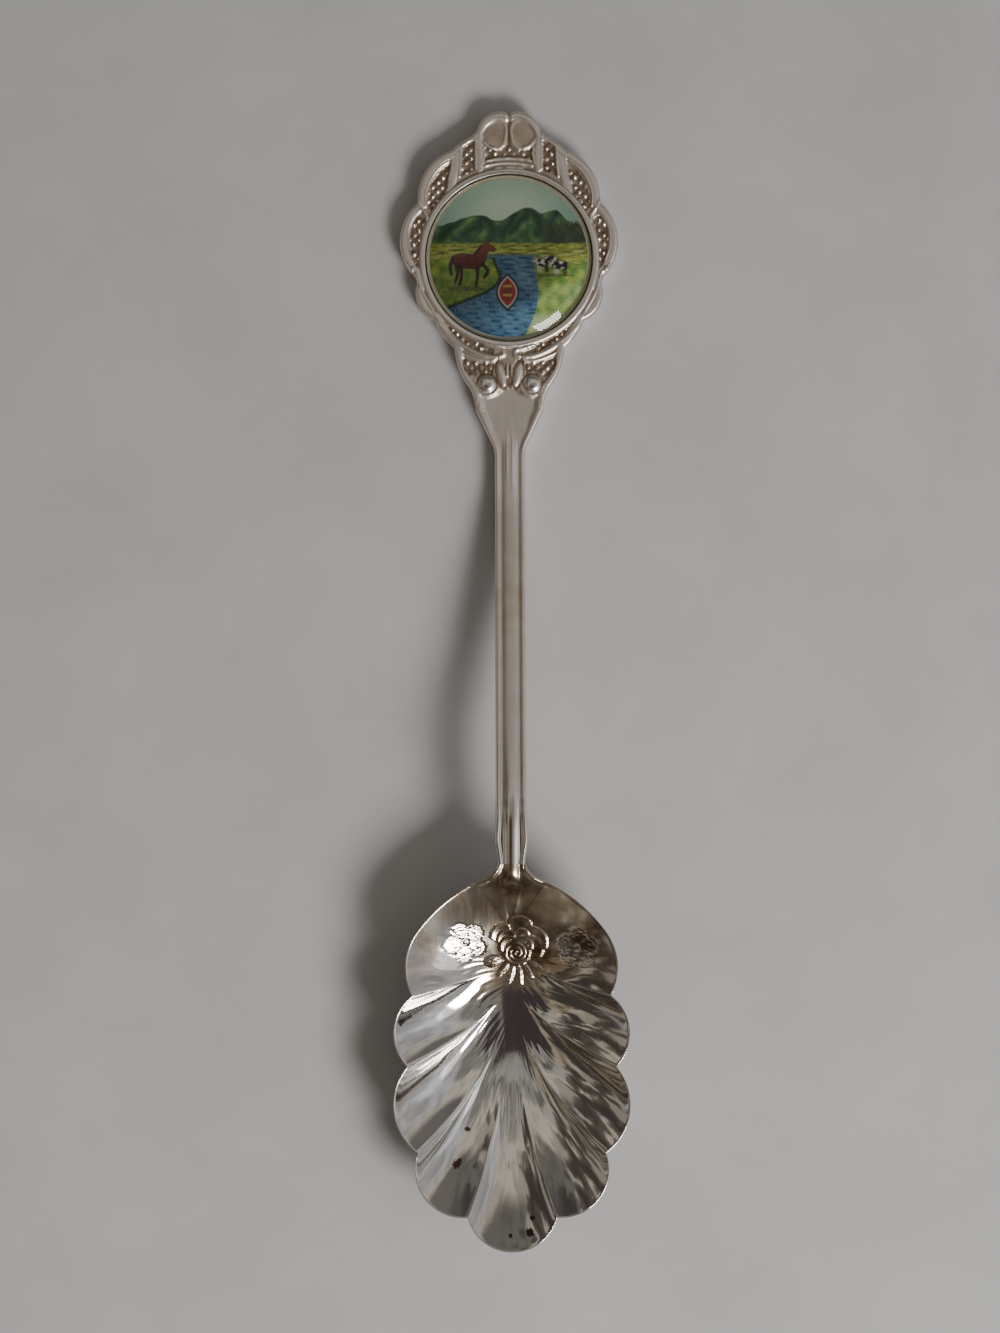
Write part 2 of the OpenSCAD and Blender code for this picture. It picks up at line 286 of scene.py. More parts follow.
def inside(x, y, polygon):
    """True where (x, y) is inside the polygon."""
    result = np.zeros(np.shape(x), bool)
    for (ax, ay), (bx, by) in zip(polygon, polygon[1:] + polygon[:1]):
        if ay != by:
            crosses = (ay > y) != (by > y)
            result ^= crosses & (x < ax + (y - ay) * (bx - ax) / (by - ay))
    return result


def smooth_line(points, count=5):
    """A Catmull-Rom curve through the points."""
    p = np.array([points[0], *points, points[-1]], float)
    out = []
    for a, b, c, d in zip(p, p[1:], p[2:], p[3:]):
        for t in np.linspace(0, 1, count, endpoint=False):
            out.append(0.5 * (2 * b + (c - a) * t + (2 * a - 5 * b + 4 * c - d) * t**2
                              + (3 * b - a - 3 * c + d) * t**3))
    return out + [p[-1]]


def ridge(d, width, height, power=0.6):
    """A rounded ridge's height at a distance d from its middle line; a low power makes it boxy."""
    return height * np.clip(1 - (2 * d / width) ** 2, 0, 1) ** power


def add_stroke(h, x, y, points, width, height, power=0.6):
    """Raises h along a smooth line; a negative height engraves it."""
    line = smooth_line(points) if len(points) > 2 else [np.array(p, float) for p in points]
    xs, ys = [p[0] for p in line], [p[1] for p in line]
    near = (x > min(xs) - width) & (x < max(xs) + width) & (y > min(ys) - width) & (y < max(ys) + width)
    if near.any():
        r = ridge(distance(x[near], y[near], line), width, abs(height), power)
        h[near] = np.maximum(h[near], r) if height > 0 else h[near] - r


def ripple(x, y, size, seed=0.0):
    """Smooth noise between -1 and 1 with lumps of about that size."""
    waves = 5
    total = 0
    for k in range(waves):
        a = seed + 2.4 * k
        along = x * math.cos(a) + y * math.sin(a)
        total = total + np.sin(along * 5.2 / size * (0.8 + 0.13 * k) + 1.7 * k + seed)
    return total / waves * 1.6


# Ornament on the head's right half: (points, width, height) of each raised line, and its roundness
# where that isn't the usual one
TONGUE = [(0.3, 12.2), (0.25, 13.2), (0.7, 13.85), (1.5, 13.85), (2.3, 13.35), (2.75, 12.6),
          (2.6, 11.9), (2.1, 11.35), (1.3, 11.05), (0.65, 11.35), (0.3, 12.2)]
HEAD_LINES = [
    (TONGUE, 0.26, 0.2),
    ([(1.5, 11.1), (2.1, 11.3), (2.5, 11.75)], 0.4, 0.26),
    ([(3.45, 12.9), (3.1, 12.0), (2.95, 10.8), (2.98, 9.0)], 0.84, 0.24, 0.35),
    ([(3.42, 12.6), (3.36, 11.4), (3.36, 9.0)], 0.2, 0.31),
    ([(2.5, 11.2), (2.46, 10.4), (2.6, 9.5)], 0.2, 0.24),
    ([(5.0, 12.0), (5.2, 10.6), (5.4, 9.2), (5.75, 7.9), (6.0, 6.8)], 0.95, 0.24, 0.3),
    ([(4.8, 11.2), (4.86, 9.8), (5.02, 8.2)], 0.2, 0.31),
    ([(5.75, 10.4), (5.8, 9.2), (6.1, 7.9)], 0.18, 0.29),
    ([(6.1, 9.75), (7.2, 8.95), (8.05, 7.7), (8.45, 6.4), (8.4, 5.2)], 0.24, 0.3),
    ([(9.3, 5.9), (8.85, 5.1), (8.35, 4.3), (8.25, 3.5)], 0.4, 0.34),
    ([(9.5, 4.5), (10.05, 3.4), (10.25, 2.1), (10.15, 0.8), (9.75, -0.3)], 0.22, 0.28),
    ([(9.2, -2.1), (9.35, -1.5), (9.85, -1.2), (10.15, -0.7)], 0.4, 0.34),
    ([(9.1, -2.3), (8.85, -3.3), (8.35, -4.3), (7.7, -5.4), (7.3, -6.1)], 0.5, 0.3, 0.5),
    ([(7.0, -6.8), (5.9, -8.0), (4.4, -9.1), (2.8, -9.85), (1.4, -10.1)], 0.55, 0.3, 0.4),
    ([(6.3, -8.4), (5.2, -9.35), (3.8, -10.05), (2.4, -10.45), (1.3, -10.35)], 0.3, 0.26),
    ([(2.5, -8.85), (1.5, -9.15), (0.75, -9.35), (0.55, -9.8), (1.05, -10.0)], 0.42, 0.36),
    ([(5.35, -9.5), (5.0, -10.7), (4.4, -12.0), (3.75, -12.9)], 0.2, 0.24),
    ([(1.15, -13.2), (1.6, -13.75), (2.4, -13.95), (3.1, -13.6), (3.5, -12.9)], 0.32, 0.32),
    ([(0.2, -10.8), (0.22, -12.0), (0.5, -13.0), (1.1, -13.3)], 0.26, 0.26),
]
# Outlines of the stippled panels between the lines
HEAD_PANELS = [
    [(0.0, 11.7), (0.45, 11.25), (1.3, 10.85), (2.1, 11.1), (2.4, 11.3), (2.4, 9.8), (1.4, 10.15),
     (0, 10.25)],
    [(3.5, 11.9), (4.7, 11.4), (4.75, 9.6), (4.9, 8.3), (3.5, 8.9)],
    [(5.95, 9.6), (7.0, 8.8), (7.8, 7.6), (8.2, 6.3), (8.2, 5.1), (7.7, 4.7), (6.8, 6.2), (6.2, 7.1)],
    [(8.5, 3.9), (9.3, 4.3), (9.9, 3.2), (10.05, 2.0), (9.95, 0.7), (9.55, -0.7), (9.2, -0.9), (9.15, 1.6),
     (8.85, 2.8)],
    [(6.7, -6.4), (5.4, -7.95), (3.9, -9.0), (2.6, -9.55), (1.5, -9.8), (1.6, -9.3), (3.0, -8.7),
     (4.7, -7.95), (6.0, -7.0)],
    [(1.6, -10.75), (3.0, -10.6), (4.75, -10.1), (4.7, -11.1), (3.8, -12.3), (3.3, -11.8), (2.4, -11.5),
     (1.7, -11.7)],
]
BEAD = (2.3, -12.75)
BEAD_R = 0.93
KNOB = (9.85, -1.15)
KNOB_R = 0.42
# The plain field under the ornament starts at this scalloped line
FIELD_LINE = [(0, -13.2), (0.55, -13.35), (1.2, -13.95), (2.3, -14.3), (3.2, -13.9), (3.75, -13.0),
              (6, -10)]


STIPPLE_PITCH = 0.68


def stipple(x, y):
    """Rows of small pressed pyramids, a little uneven."""
    u = x + 0.07 * ripple(x, y, 1.5, 0.4)
    v = y + 0.07 * ripple(x, y, 1.3, 2.0)
    a = np.abs(np.sin(math.pi * (u + v) / math.sqrt(2) / STIPPLE_PITCH))
    b = np.abs(np.sin(math.pi * (u - v) / math.sqrt(2) / STIPPLE_PITCH))
    return (a * b) ** 0.75 * (0.8 + 0.2 * ripple(x, y, 1.1, 5.0))


SHOULDER = (0.29 * BOWL_W / 2, Y_SHOULDER)
edge_nodes = np.vstack([
    [(stem_half(y), y) for y in np.linspace(Y_CHORD, Y_NECK, 90)[1:]],
    arc((NECK_HALF, Y_NECK), SHOULDER, NECK_BULGE, 6),
    [SHOULDER, (8, Y_SHOULDER - 3.5)],
])
EDGE_LINE = np.vstack([head_right, edge_nodes - [0, Y_HEAD]])


def handle_relief(x, y):
    """Height over the plain head, tarnish and shine at a place seen from the insert's middle."""
    ax = np.abs(x)
    r = np.hypot(x, y)
    e = distance(ax, y, EDGE_LINE)
    on_plate = step(CHORD_Y - 3.5, CHORD_Y + 0.8, y)
    wide = mix(0.54, 0.95, on_plate) - 0.2 * step(-8, -11, y) * on_plate
    border = ridge(e - wide / 2 - 0.01, wide, 1, mix(0.55, 0.38, on_plate)) * mix(0.22, 0.27, on_plate)
    ornate = step(-0.09, 0.09, y - np.interp(ax, *zip(*FIELD_LINE)))
    outside = r > RECESS_R + BEZEL_W - 0.2
    h = np.maximum(border, 0.1 * ornate * outside)
    # The stem's middle band, which runs out in the plain field under the head
    near_neck = step(-44, -58, y)
    width = mix(mix(1.45, 1.6, near_neck), 2.0, on_plate)
    band = ridge(x, width, mix(0.21, 0.3, near_neck), mix(0.4, 0.9, near_neck))
    band = band * step(CHORD_Y - 2.0, CHORD_Y - 4.8, y)
    h = np.maximum(h, band)
    beside_flare = step(CHORD_Y - 9, CHORD_Y - 5, y) * step(CHORD_Y - 1.6, CHORD_Y - 2.8, y)
    h = h + ridge(ax - 0.28, 0.2, 0.05) * beside_flare
    inner = ridge(e - wide - 0.1, 0.2, 0.1) * on_plate * (1 - ornate)
    h = np.maximum(h, inner)
    # Pressed panels
    panel = np.zeros(np.shape(x), bool)
    for polygon in HEAD_PANELS:
        panel |= inside(ax, y, polygon)
    panel &= (e > 0.5) & (r > RECESS_R + BEZEL_W)
    h = np.where(panel, -0.16 + 0.42 * stipple(x, y), h)
    # The tongues are dished
    h = np.where(inside(ax, y, TONGUE), 0.08 + 0.03 * (y - 12.5) ** 2, h)
    for points, width, height, *power in HEAD_LINES:
        add_stroke(h, ax, y, points, width, height, *power)
    # Short arcs between the tongues and the bezel: radius, half span in degrees, width, height
    angle = np.abs(np.degrees(np.arctan2(x, y)))
    for radius, span, width, height in (
        (10.1, 13.5, 0.2, 0.26), (9.62, 15.5, 0.3, 0.26), (9.2, 9.5, 0.2, 0.36),
    ):
        h = np.maximum(h, ridge(r - radius, width, height) * step(span + 1, span - 1, angle))
    # Beads, their rims and the hanging petals
    d = np.hypot(ax - BEAD[0], y - BEAD[1])
    h = np.where((d < BEAD_R + 0.2) & (y > BEAD[1]), np.minimum(h, 0.02), h)
    h = np.maximum(h, 0.55 * np.sqrt(np.clip(1 - (d / BEAD_R) ** 2, 0, 1)) ** 0.8)
    lower = step(-0.2, 0.3, -(y - BEAD[1]) / np.maximum(d, 0.01) + 0.15)
    h = np.maximum(h, ridge(d - 1.2, 0.28, 0.28) * lower)
    tx, ty = ax - 0.85, y + 11.8
    px, py = (tx * 0.98 - ty * 0.2) / 0.46, (ty * 0.98 + tx * 0.2) / 1.32
    petal = 1 - px**2 - py**2
    h = np.where((petal > -0.45) & (petal < 0), 0.0, h)
    h = np.maximum(h, 0.34 * np.clip(petal, 0, 1) ** 0.4)
    # A small knob where two of the border's scallops meet
    knob = np.hypot(ax - KNOB[0], y - KNOB[1])
    h = np.maximum(h, KNOB_R * np.sqrt(np.clip(1 - (knob / KNOB_R) ** 2, 0, 1)))
    # Engraved middle line of the top and between the petals
    add_stroke(h, x, y, [(0, 15.2), (0, 11.7)], 0.3, -0.16)
    add_stroke(h, x, y, [(0, -10.9), (0, -13.1)], 0.3, -0.1)
    # The smooth bezel round the recess
    bezel = ridge(r - RECESS_R - BEZEL_W / 2, BEZEL_W, RELIEF_H - 0.02, 0.35)
    h = np.where(r < RECESS_R + BEZEL_W, bezel, h)
    deep = np.clip(1 - h / 0.2, 0, 1) * ornate
    tarnish_and_painted_reflection = np.clip(0.06 * (1 - ornate) + 0.75 * deep + 0.1 * (h < 0.3), 0, 1)
    # Raised places are rubbed bright, most of all the tips of the stipple
    shine = np.where(panel, np.clip(h * 6, 0, 0.95), np.clip(h - 0.15, 0, 0.3) * 2) * ornate
    return h, tarnish_and_painted_reflection, shine


ROSE = (0.5, -27.7)
BUD = (-1.85, -28.55)
# (x, y, turn in radians, depth of the lines against the left one's)
BLOSSOMS = ((-4.65, -26.55, 0.47, 1.0), (6.6, -27.05, 1.0, 0.6))
BLOSSOM_R = 2.05
BLOSSOM_REACH = 2.5
# Round the rose's middle: (angle, start, end) of each sepal
SEPALS = ((-152, 1.3, 3.1), (-128, 1.3, 3.0), (-104, 1.35, 3.3), (-82, 1.4, 3.4), (-58, 1.35, 3.2),
          (-34, 1.4, 3.3))
# (radius, first angle, last angle, rise) of each petal's curled edge
PETALS = ((3.55, 8, 66, 0.3), (2.85, -14, 52, 0.34), (3.9, 62, 104, 0.28), (3.5, 104, 150, 0.28),
          (2.7, 52, 98, 0.32), (2.75, 98, 150, 0.3), (2.1, 10, 90, 0.34), (2.05, 90, 176, 0.34))
HEART_R = 1.45
HEART_PITCH = 0.42


def rose_relief(x, y):
    """Height of the pressed rose with its sepals and bud, and the distance from its middle."""
    dx, dy = x - ROSE[0], y - ROSE[1]
    r, angle = np.hypot(dx, dy), np.degrees(np.arctan2(dy, dx))
    h = np.zeros(np.shape(x))
    # Sepals under the rose: pointed leaves with a rib
    for middle, start, end in SEPALS:
        turn = np.radians(angle - middle)
        along = (r * np.cos(turn) - start) / (end - start)
        across = r * np.sin(turn)
        half = 0.3 * np.sqrt(np.clip(along * (1 - along) * 4, 0, 1)) * (1.15 - 0.5 * along)
        leaf = np.clip(1 - (across / np.maximum(half, 0.02)) ** 2, 0, 1) ** 0.5
        leaf = leaf * (along > 0) * (along < 1)
        h = np.maximum(h, 0.2 * leaf - ridge(across, 0.1, 0.06))
    for radius, low, high, rise in PETALS:
        share = (angle - low) / (high - low)
        edge = radius - 0.45 * (2 * share - 1) ** 2
        within = (share > 0) & (share < 1)
        petal = np.clip((edge - r) / 0.16, 0, 1) ** 0.5 * np.clip(1 - (edge - r) / 1.25, 0, 1)
        h = np.where(within, np.maximum(h, 0.72 * rise * petal), h)
    # The heart: a spiral of turned edges
    swirl = (r - 0.22 - HEART_PITCH * ((angle + 200) % 360) / 360) / HEART_PITCH
    heart = 0.16 + 0.12 * (1 - np.clip(r / 1.5, 0, 1)) + 0.09 * np.cos(2 * math.pi * swirl)
    h = np.where(r < HEART_R, np.maximum(heart * step(1.5, 1.3, r), 0.1), h)
    # The bud at the rose's left, with a furrow
    tx, ty = x - BUD[0], y - BUD[1]
    bx, by = tx * 0.95 + ty * 0.3, ty * 0.95 - tx * 0.3
    bud = np.clip(1 - (bx / 0.85) ** 2 - (by / 0.62) ** 2, 0, 1) ** 0.5
    h = np.maximum(h, 0.34 * bud - ridge(by + 0.1 * np.sin(bx * 9), 0.16, 0.12) * (bud > 0))
    return h, r


def blossom_cuts(r, a):
    """Depth of a blossom's engraved lines, and the reach of its edge, at a distance and an angle."""
    lobe = np.abs(np.cos(2.5 * a))
    edge = BLOSSOM_R * (0.62 + 0.38 * lobe**0.55) + 0.07 * np.cos(30 * a)
    lines = (
        ridge(r - edge, 0.2, 0.12),
        ridge(r - edge + 0.38, 0.16, 0.07) * (lobe > 0.45),
        ridge(r * lobe, 0.26, 0.1) * step(0.5, 0.8, r) * step(edge, edge - 0.3, r),
        ridge(r - 0.3, 0.18, 0.12),
        ridge(r - 0.62 * edge, 0.2, 0.1) * (np.cos(15 * a) > 0.1) * (lobe > 0.5),
    )
    return np.max(lines, axis=0), edge


def bowl_relief(x, y):
    """Height of the pressed flowers over the bowl's floor, how close they are, and how matt their lines."""
    h, r = rose_relief(x, y)
    near = step(4.6, 3.2, r)
    etched = np.zeros(np.shape(x))
    for cx, cy, turn, depth in BLOSSOMS:
        dx, dy = x - cx, y - cy
        r = np.hypot(dx, dy)
        within = r < BLOSSOM_REACH
        cut, edge = blossom_cuts(r, np.arctan2(dy, dx) + turn)
        dish = 0.03 * np.clip(1 - (r / np.maximum(edge, 0.1)) ** 2, 0, 1) ** 0.5
        h = np.where(within, dish - depth * cut, h)
        # Dirt fills the left one's lines, and the right one's have gone matt
        near = np.maximum(near * step(1.8, 2.6, r), step(0, 0.1, cut) * within * (cx < 0))
        etched = np.maximum(etched, step(0.01, 0.06, cut) * within * (cx > 0))
    return h, near, etched


# ---- the blank's mesh
EDGE_R = 0.22
EDGE_STEPS = 5
# How far inside the outline the rows of a rounded edge lie
EDGE_RINGS = EDGE_R * (1 - np.sin(np.linspace(0, math.pi / 2, EDGE_STEPS + 1)))
WALL_STEPS = 3
# Columns in half the stem's width
COLUMNS = 24
# The flowers lie along the bowl's first two arcs
BOWL_STEPS = (44, 44, 22, 22, 22, 15)
HEAD_COLUMNS = 530
HEAD_RINGS = 44
MOUTH_STEPS = 4
BEZEL_STEPS = 8
# The stem's plain face lies this far down, so that its threads end at the CAD model's height
THREAD_SINK = 0.077


class Grids:
    """Collects grids of points with two values each, and joins them where their points meet."""

    def __init__(self):
        self.points, self.values, self.quads, self.count = [], [], [], 0

    def add(self, places, tarnish_and_painted_reflection, polish, closed=False):
        n, m = places.shape[:2]
        v = np.stack([np.broadcast_to(value, (n, m)) for value in (tarnish_and_painted_reflection, polish)], -1)
        index = np.arange(n * m).reshape(n, m) + self.count
        if closed:
            index = np.vstack([index, index[:1]])
        quads = np.stack([index[:-1, :-1], index[1:, :-1], index[1:, 1:], index[:-1, 1:]], -1)
        self.points.append(places.reshape(-1, 3))
        self.values.append(v.reshape(-1, 2))
        self.quads.append(quads.reshape(-1, 4))
        self.count += n * m

    def add_wall(self, top, bottom, tarnish_and_painted_reflection, polish):
        """Rows of points from a top edge straight down to a bottom edge."""
        t = np.linspace(0, 1, WALL_STEPS + 1)[:, None]
        self.add(top[:, None] * (1 - t) + bottom[:, None] * t, tarnish_and_painted_reflection, polish)

    def build(self, name):
        points, values, quads = map(np.vstack, (self.points, self.values, self.quads))
        _, first, back = np.unique(np.round(points * 1000).astype(np.int64), axis=0,
                                   return_index=True, return_inverse=True)
        quads = back.reshape(-1)[quads]
        faces = []
        for q in quads.tolist():
            f = [c for k, c in enumerate(q) if c != q[k - 1]]
            if len(f) > 2:
                faces.append(f)
        mesh = bpy.data.meshes.new(name)
        mesh.from_pydata((points[first] * MM).tolist(), [], faces)
        bm = bmesh.new()
        bm.from_mesh(mesh)
        bmesh.ops.recalc_face_normals(bm, faces=bm.faces)
        bm.to_mesh(mesh)
        bm.free()
        mesh.shade_smooth()
        for k, key in enumerate(("tarnish_and_painted_reflection", "polish")):
            mesh.attributes.new(key, "FLOAT", "POINT").data.foreach_set("value", values[first, k])
        return add_object(name, mesh)


def add_object(name, mesh):
    obj = bpy.data.objects.new(name, mesh)
    bpy.context.scene.collection.objects.link(obj)
    return obj


def stack(x, y, z):
    return np.stack(np.broadcast_arrays(x, y, z), -1)


def on_head(x, y, z):
    """From the head's own frame to the spoon's."""
    return stack(x, Y_HEAD + y, Z_HEAD + z)


def add_stem(grids):
    """The stem from the neck to the head; returns its rows of points, top and bottom."""
    c = np.linspace(-1, 1, 2 * COLUMNS + 1)
    # Columns crowd towards the edges, where the threads are
    c = np.sign(c) * (1 - (1 - np.abs(c)) ** 1.15)
    y = np.concatenate([
        np.linspace(Y_NECK, Y_NECK + 7, 24),
        np.linspace(Y_NECK + 7, Y_FLARE - 1, 62)[1:],
        np.linspace(Y_FLARE - 1, Y_CHORD, 30)[1:],
    ])[:, None]
    half = stem_half(y)
    half[0], half[-1] = NECK_HALF, CHORD_HALF
    x = c * half
    h, tarnish_and_painted_reflection, shine = handle_relief(x, y - Y_HEAD + 0 * x)
    sink = THREAD_SINK * (1 - step(Y_FLARE - 1, Y_CHORD, y))
    drop = edge_drop(half - np.abs(x), EDGE_R)
    thick = mix(STEM_T, HEAD_T, step(Y_NECK, Y_FOOT, y))
    top = stack(x, y, handle_z(y) + h - sink - drop)
    bottom = stack(x, y, handle_z(y) - thick + drop)
    # The threads are rubbed bright near the neck
    shine = np.maximum(shine, 0.75 * step(Y_NECK + 16, Y_NECK + 3, y))
    grids.add(top, tarnish_and_painted_reflection * step(Y_NECK, Y_NECK + 8, y), shine)
    grids.add(bottom, 0.1, 0.1)
    for k in (0, -1):
        grids.add_wall(top[:, k], bottom[:, k], 0.1, 0.1)
    return top, bottom


def add_head(grids, chord_top, chord_bottom):
    """The flat head, whose rows fan out from the recess; the first ones meet the stem's end."""
    angles = np.degrees(np.arctan2(head_right[:, 1], head_right[:, 0]))
    low = math.degrees(math.atan2(CHORD_Y, CHORD_HALF))
    turn = np.linspace(low, 180 - low, HEAD_COLUMNS + 2)[1:-1]
    folded = np.where(turn > 90, 180 - turn, turn)
    outline = np.interp(folded, angles[::-1], np.hypot(*head_right.T)[::-1])
    cx = chord_top[:, 0]
    n = len(cx)
    corner = np.abs(cx) >= CHORD_HALF - 1e-6
    phi = np.radians(np.concatenate([np.degrees(np.arctan2(CHORD_Y, cx)), turn]))
    reach = np.concatenate([np.hypot(cx, CHORD_Y), outline])[:, None]
    cos, sin = np.cos(phi)[:, None], np.sin(phi)[:, None]

    def rounded(rings):
        """The edge's drop; where the head meets the stem, only the stem's sides are rounded."""
        drop = edge_drop(reach - rings, EDGE_R)
        side_drop = edge_drop(CHORD_HALF - np.abs(cx), EDGE_R)[:, None]
        side_drop = side_drop * step(0.8, 1, rings[:n] / reach[:n])
        drop[:n] = np.where(corner[:, None], drop[:n], side_drop)
        return drop

    # Rings of the top face, from the recess's mouth over the bezel out to the rounded edge
    quarter = np.linspace(0, math.pi / 2, MOUTH_STEPS)
    mouth = RECESS_R + 0.06 * (1 - np.cos(quarter))
    bezel = np.linspace(mouth[-1], RECESS_R + BEZEL_W, BEZEL_STEPS + 1)[1:]
    inner = np.concatenate([mouth, bezel])
    rings = np.concatenate([
        np.broadcast_to(inner, (len(reach), len(inner))),
        bezel[-1] + (reach - EDGE_R - bezel[-1]) * np.linspace(0, 1, HEAD_RINGS)[1:-1],
        reach - EDGE_RINGS,
    ], axis=1)
    x, y = rings * cos, rings * sin
    h, tarnish_and_painted_reflection, shine = handle_relief(x, y)
    z = HEAD_T + h
    z[:, :MOUTH_STEPS] = HEAD_T + BEZEL_H - 0.1 * (1 - np.sin(quarter))
    over = slice(MOUTH_STEPS, len(inner))
    crest = HEAD_T + BEZEL_H * (1 - ((rings[:, over] - mouth[-1]) / BEZEL_W) ** 6)
    z[:, over] = np.maximum(z[:, over], crest)
    top = on_head(x, y, z - rounded(rings))
    top[:n, -1] = chord_top
    grids.add(top, tarnish_and_painted_reflection, shine, closed=True)
    # The recess's wall and floor
    down = np.linspace(z[0, 0], RECESS_Z, 4)
    grids.add(on_head(RECESS_R * cos, RECESS_R * sin, down), 0.5, 0.1, closed=True)
    inwards = np.linspace(RECESS_R, 0, 4)
    grids.add(on_head(inwards * cos, inwards * sin, RECESS_Z), 0.5, 0.1, closed=True)
    # The plain back
    rings = np.concatenate([reach - EDGE_RINGS[::-1], (reach - EDGE_R) * np.linspace(1, 0, 7)[1:]], axis=1)
    back = on_head(rings * cos, rings * sin, rounded(rings))
    back[:n, 0] = chord_bottom
    grids.add(back, 0.12, 0.1, closed=True)
    order = np.concatenate([[n - 1], np.arange(n, len(reach)), [0]])
    grids.add_wall(top[order, -1], back[order, 0], 0.15, 0.1)


def hand_wear(x, y, share, length, right):
    """Height of the fine streaks along the flutes and of the shallow dents."""
    phase = 0 if right else 11
    fluted = step(0.08, 0.4, share) * step(1.0, 0.8, share) * step(0, 0.6, np.abs(x))
    streaks = 0
    for wave, size in ((2.3, 0.02), (1.31, 0.014), (0.83, 0.008)):
        bent = length[:, None] / wave + 0.5 * np.sin(5 * share + wave * 9 + phase)
        bent = bent + 0.4 * np.sin(11 * share + phase)
        uneven = 0.5 + 0.5 * ripple(x, y, 5, wave)
        streaks = streaks + size * np.sin(2 * math.pi * bent + phase) * uneven
    dents = 0.016 * ripple(x, y, 7, 3.1) + 0.006 * ripple(x, y, 3.2, 8.0)
    dents = dents * step(1.0, 0.9, share) * step(Y_SHOULDER, Y_SHOULDER - 3, y) * step(0, 0.05, share)
    return streaks * fluted, dents


def bowl_tarnish_and_painted_reflection(x, y, relief, near):
    """Tarnish and painted dark reflection on the bowl: the heel's brown is partly a painted dark
    reflection, with a painted dark spot below the neck; brown round the rose and in its hollows, clean
    round the left blossom, where the window's reflection falls.
    """
    def around(place, inner, outer):
        return step(outer, inner, np.hypot(x - place[0], y - place[1]))

    # Brown over the heel: partly tarnish, partly a painted dark reflection of the room
    heel = step(-31.0, -28.0, y + 0.12 * np.abs(x)) * step(-17.5, -20, y)
    rosy = around((0.6, -27.2), 2.2, 4.4) + 0.8 * around((7.6, -25.6), 0.8, 3.0)
    # No brown round the left blossom, where the window's bright reflection falls
    clean = 1 - 0.9 * around((-4.5, -26.5), 2.4, 3.6)
    brown = (0.5 * heel + 0.45 * rosy) * clean * (0.75 + 0.35 * ripple(x, y, 3.0, 1.0))
    # Tarnish in the hollows near the flowers, and a brown spot at the heel's top below the neck, which is a
    # painted dark reflection
    hollows_and_painted_dark_spot = np.clip(0.1 - relief, 0, 0.3) * near * 2.4 + 0.45 * around((0, -19.8), 0.8, 3.2)
    return np.clip(brown + hollows_and_painted_dark_spot, 0, 1)


def add_bowl(grids, neck_top, neck_bottom):
    """The bowl and the neck: each half is a grid from the spine out to the scalloped outline."""
    half_neck = neck_top[COLUMNS:, 0]
    nodes = [(w * BOWL_W / 2, Y_TIP + s * BOWL_LEN, b) for w, s, b in BOWL_OUTLINE]
    outline = np.vstack([
        np.stack([half_neck[:-1], np.full(COLUMNS, Y_NECK)], -1),
        arc((NECK_HALF, Y_NECK), nodes[0][:2], NECK_BULGE, 9),
        chain(nodes, BOWL_STEPS),
    ])
    length = np.concatenate([[0], np.cumsum(np.hypot(*np.diff(outline, axis=0).T))])
    spine = mix(SPINE_TOP, SPINE_END, np.minimum(1, length / length[-2]))
    ox, oy, sy = outline[:, :1], outline[:, 1:], spine[:, None]
    reach = np.hypot(ox, oy - sy)
    rows = np.concatenate([np.linspace(0, 0.6, 41), np.linspace(0.6, 1, 20)[1:-1]])
    share = np.concatenate([rows * (1 - EDGE_R / reach), 1 - EDGE_RINGS / reach], axis=1)
    x, y = on_vein(sy, ox, oy, share)
    base = bowl_z(x, y, ox, oy, share)
    drop = edge_drop((1 - share) * reach, EDGE_R)
    neck_drop = edge_drop(NECK_HALF - half_neck[:-1], EDGE_R)[:, None]
    drop[:COLUMNS] = neck_drop * step(0.85, 1, share[:COLUMNS])
    thick = mix(WALL_T * floor_stretch(x, y), STEM_T, step(Y_NECK - 4, Y_NECK, y))
    under = base - thick + drop
    threads, _, _ = handle_relief(x, y - Y_HEAD)
    threads = (threads - THREAD_SINK) * step(Y_SHOULDER - 1.4, Y_SHOULDER + 1.2, y)
    below_heel = step(Y_SHOULDER - 6, Y_SHOULDER - 10, oy)
    polish = mix(0.75, 1, step(Y_NECK, Y_NECK - 2.5, y))
    # The underside needs only every second row
    keep = np.concatenate([np.arange(0, len(rows), 2), np.arange(len(rows), share.shape[1])])
    for sign in (1, -1):
        relief, near, etched = bowl_relief(sign * x, y)
        streaks, dents = hand_wear(sign * x, y, share, length, sign > 0)
        pressed = (relief + dents + streaks * below_heel) * step(1.0, 0.97, share)
        top = stack(sign * x, y, base + pressed + threads - drop)
        bottom = stack(sign * x, y, under)
        top[:COLUMNS + 1, -1] = neck_top[COLUMNS::sign]
        bottom[:COLUMNS + 1, -1] = neck_bottom[COLUMNS::sign]
        # Tarnish, and the heel's painted dark reflection, less in the right blossom's matt lines
        tarnish_and_painted_reflection = bowl_tarnish_and_painted_reflection(sign * x, y, relief, near) * (1 - 0.7 * etched)
        grids.add(top, tarnish_and_painted_reflection, polish * (1 - 0.95 * etched))
        grids.add(bottom[:, keep], 0.15, 0.75)
        grids.add_wall(top[COLUMNS:, -1], bottom[COLUMNS:, -1], 0.05, 0.7)


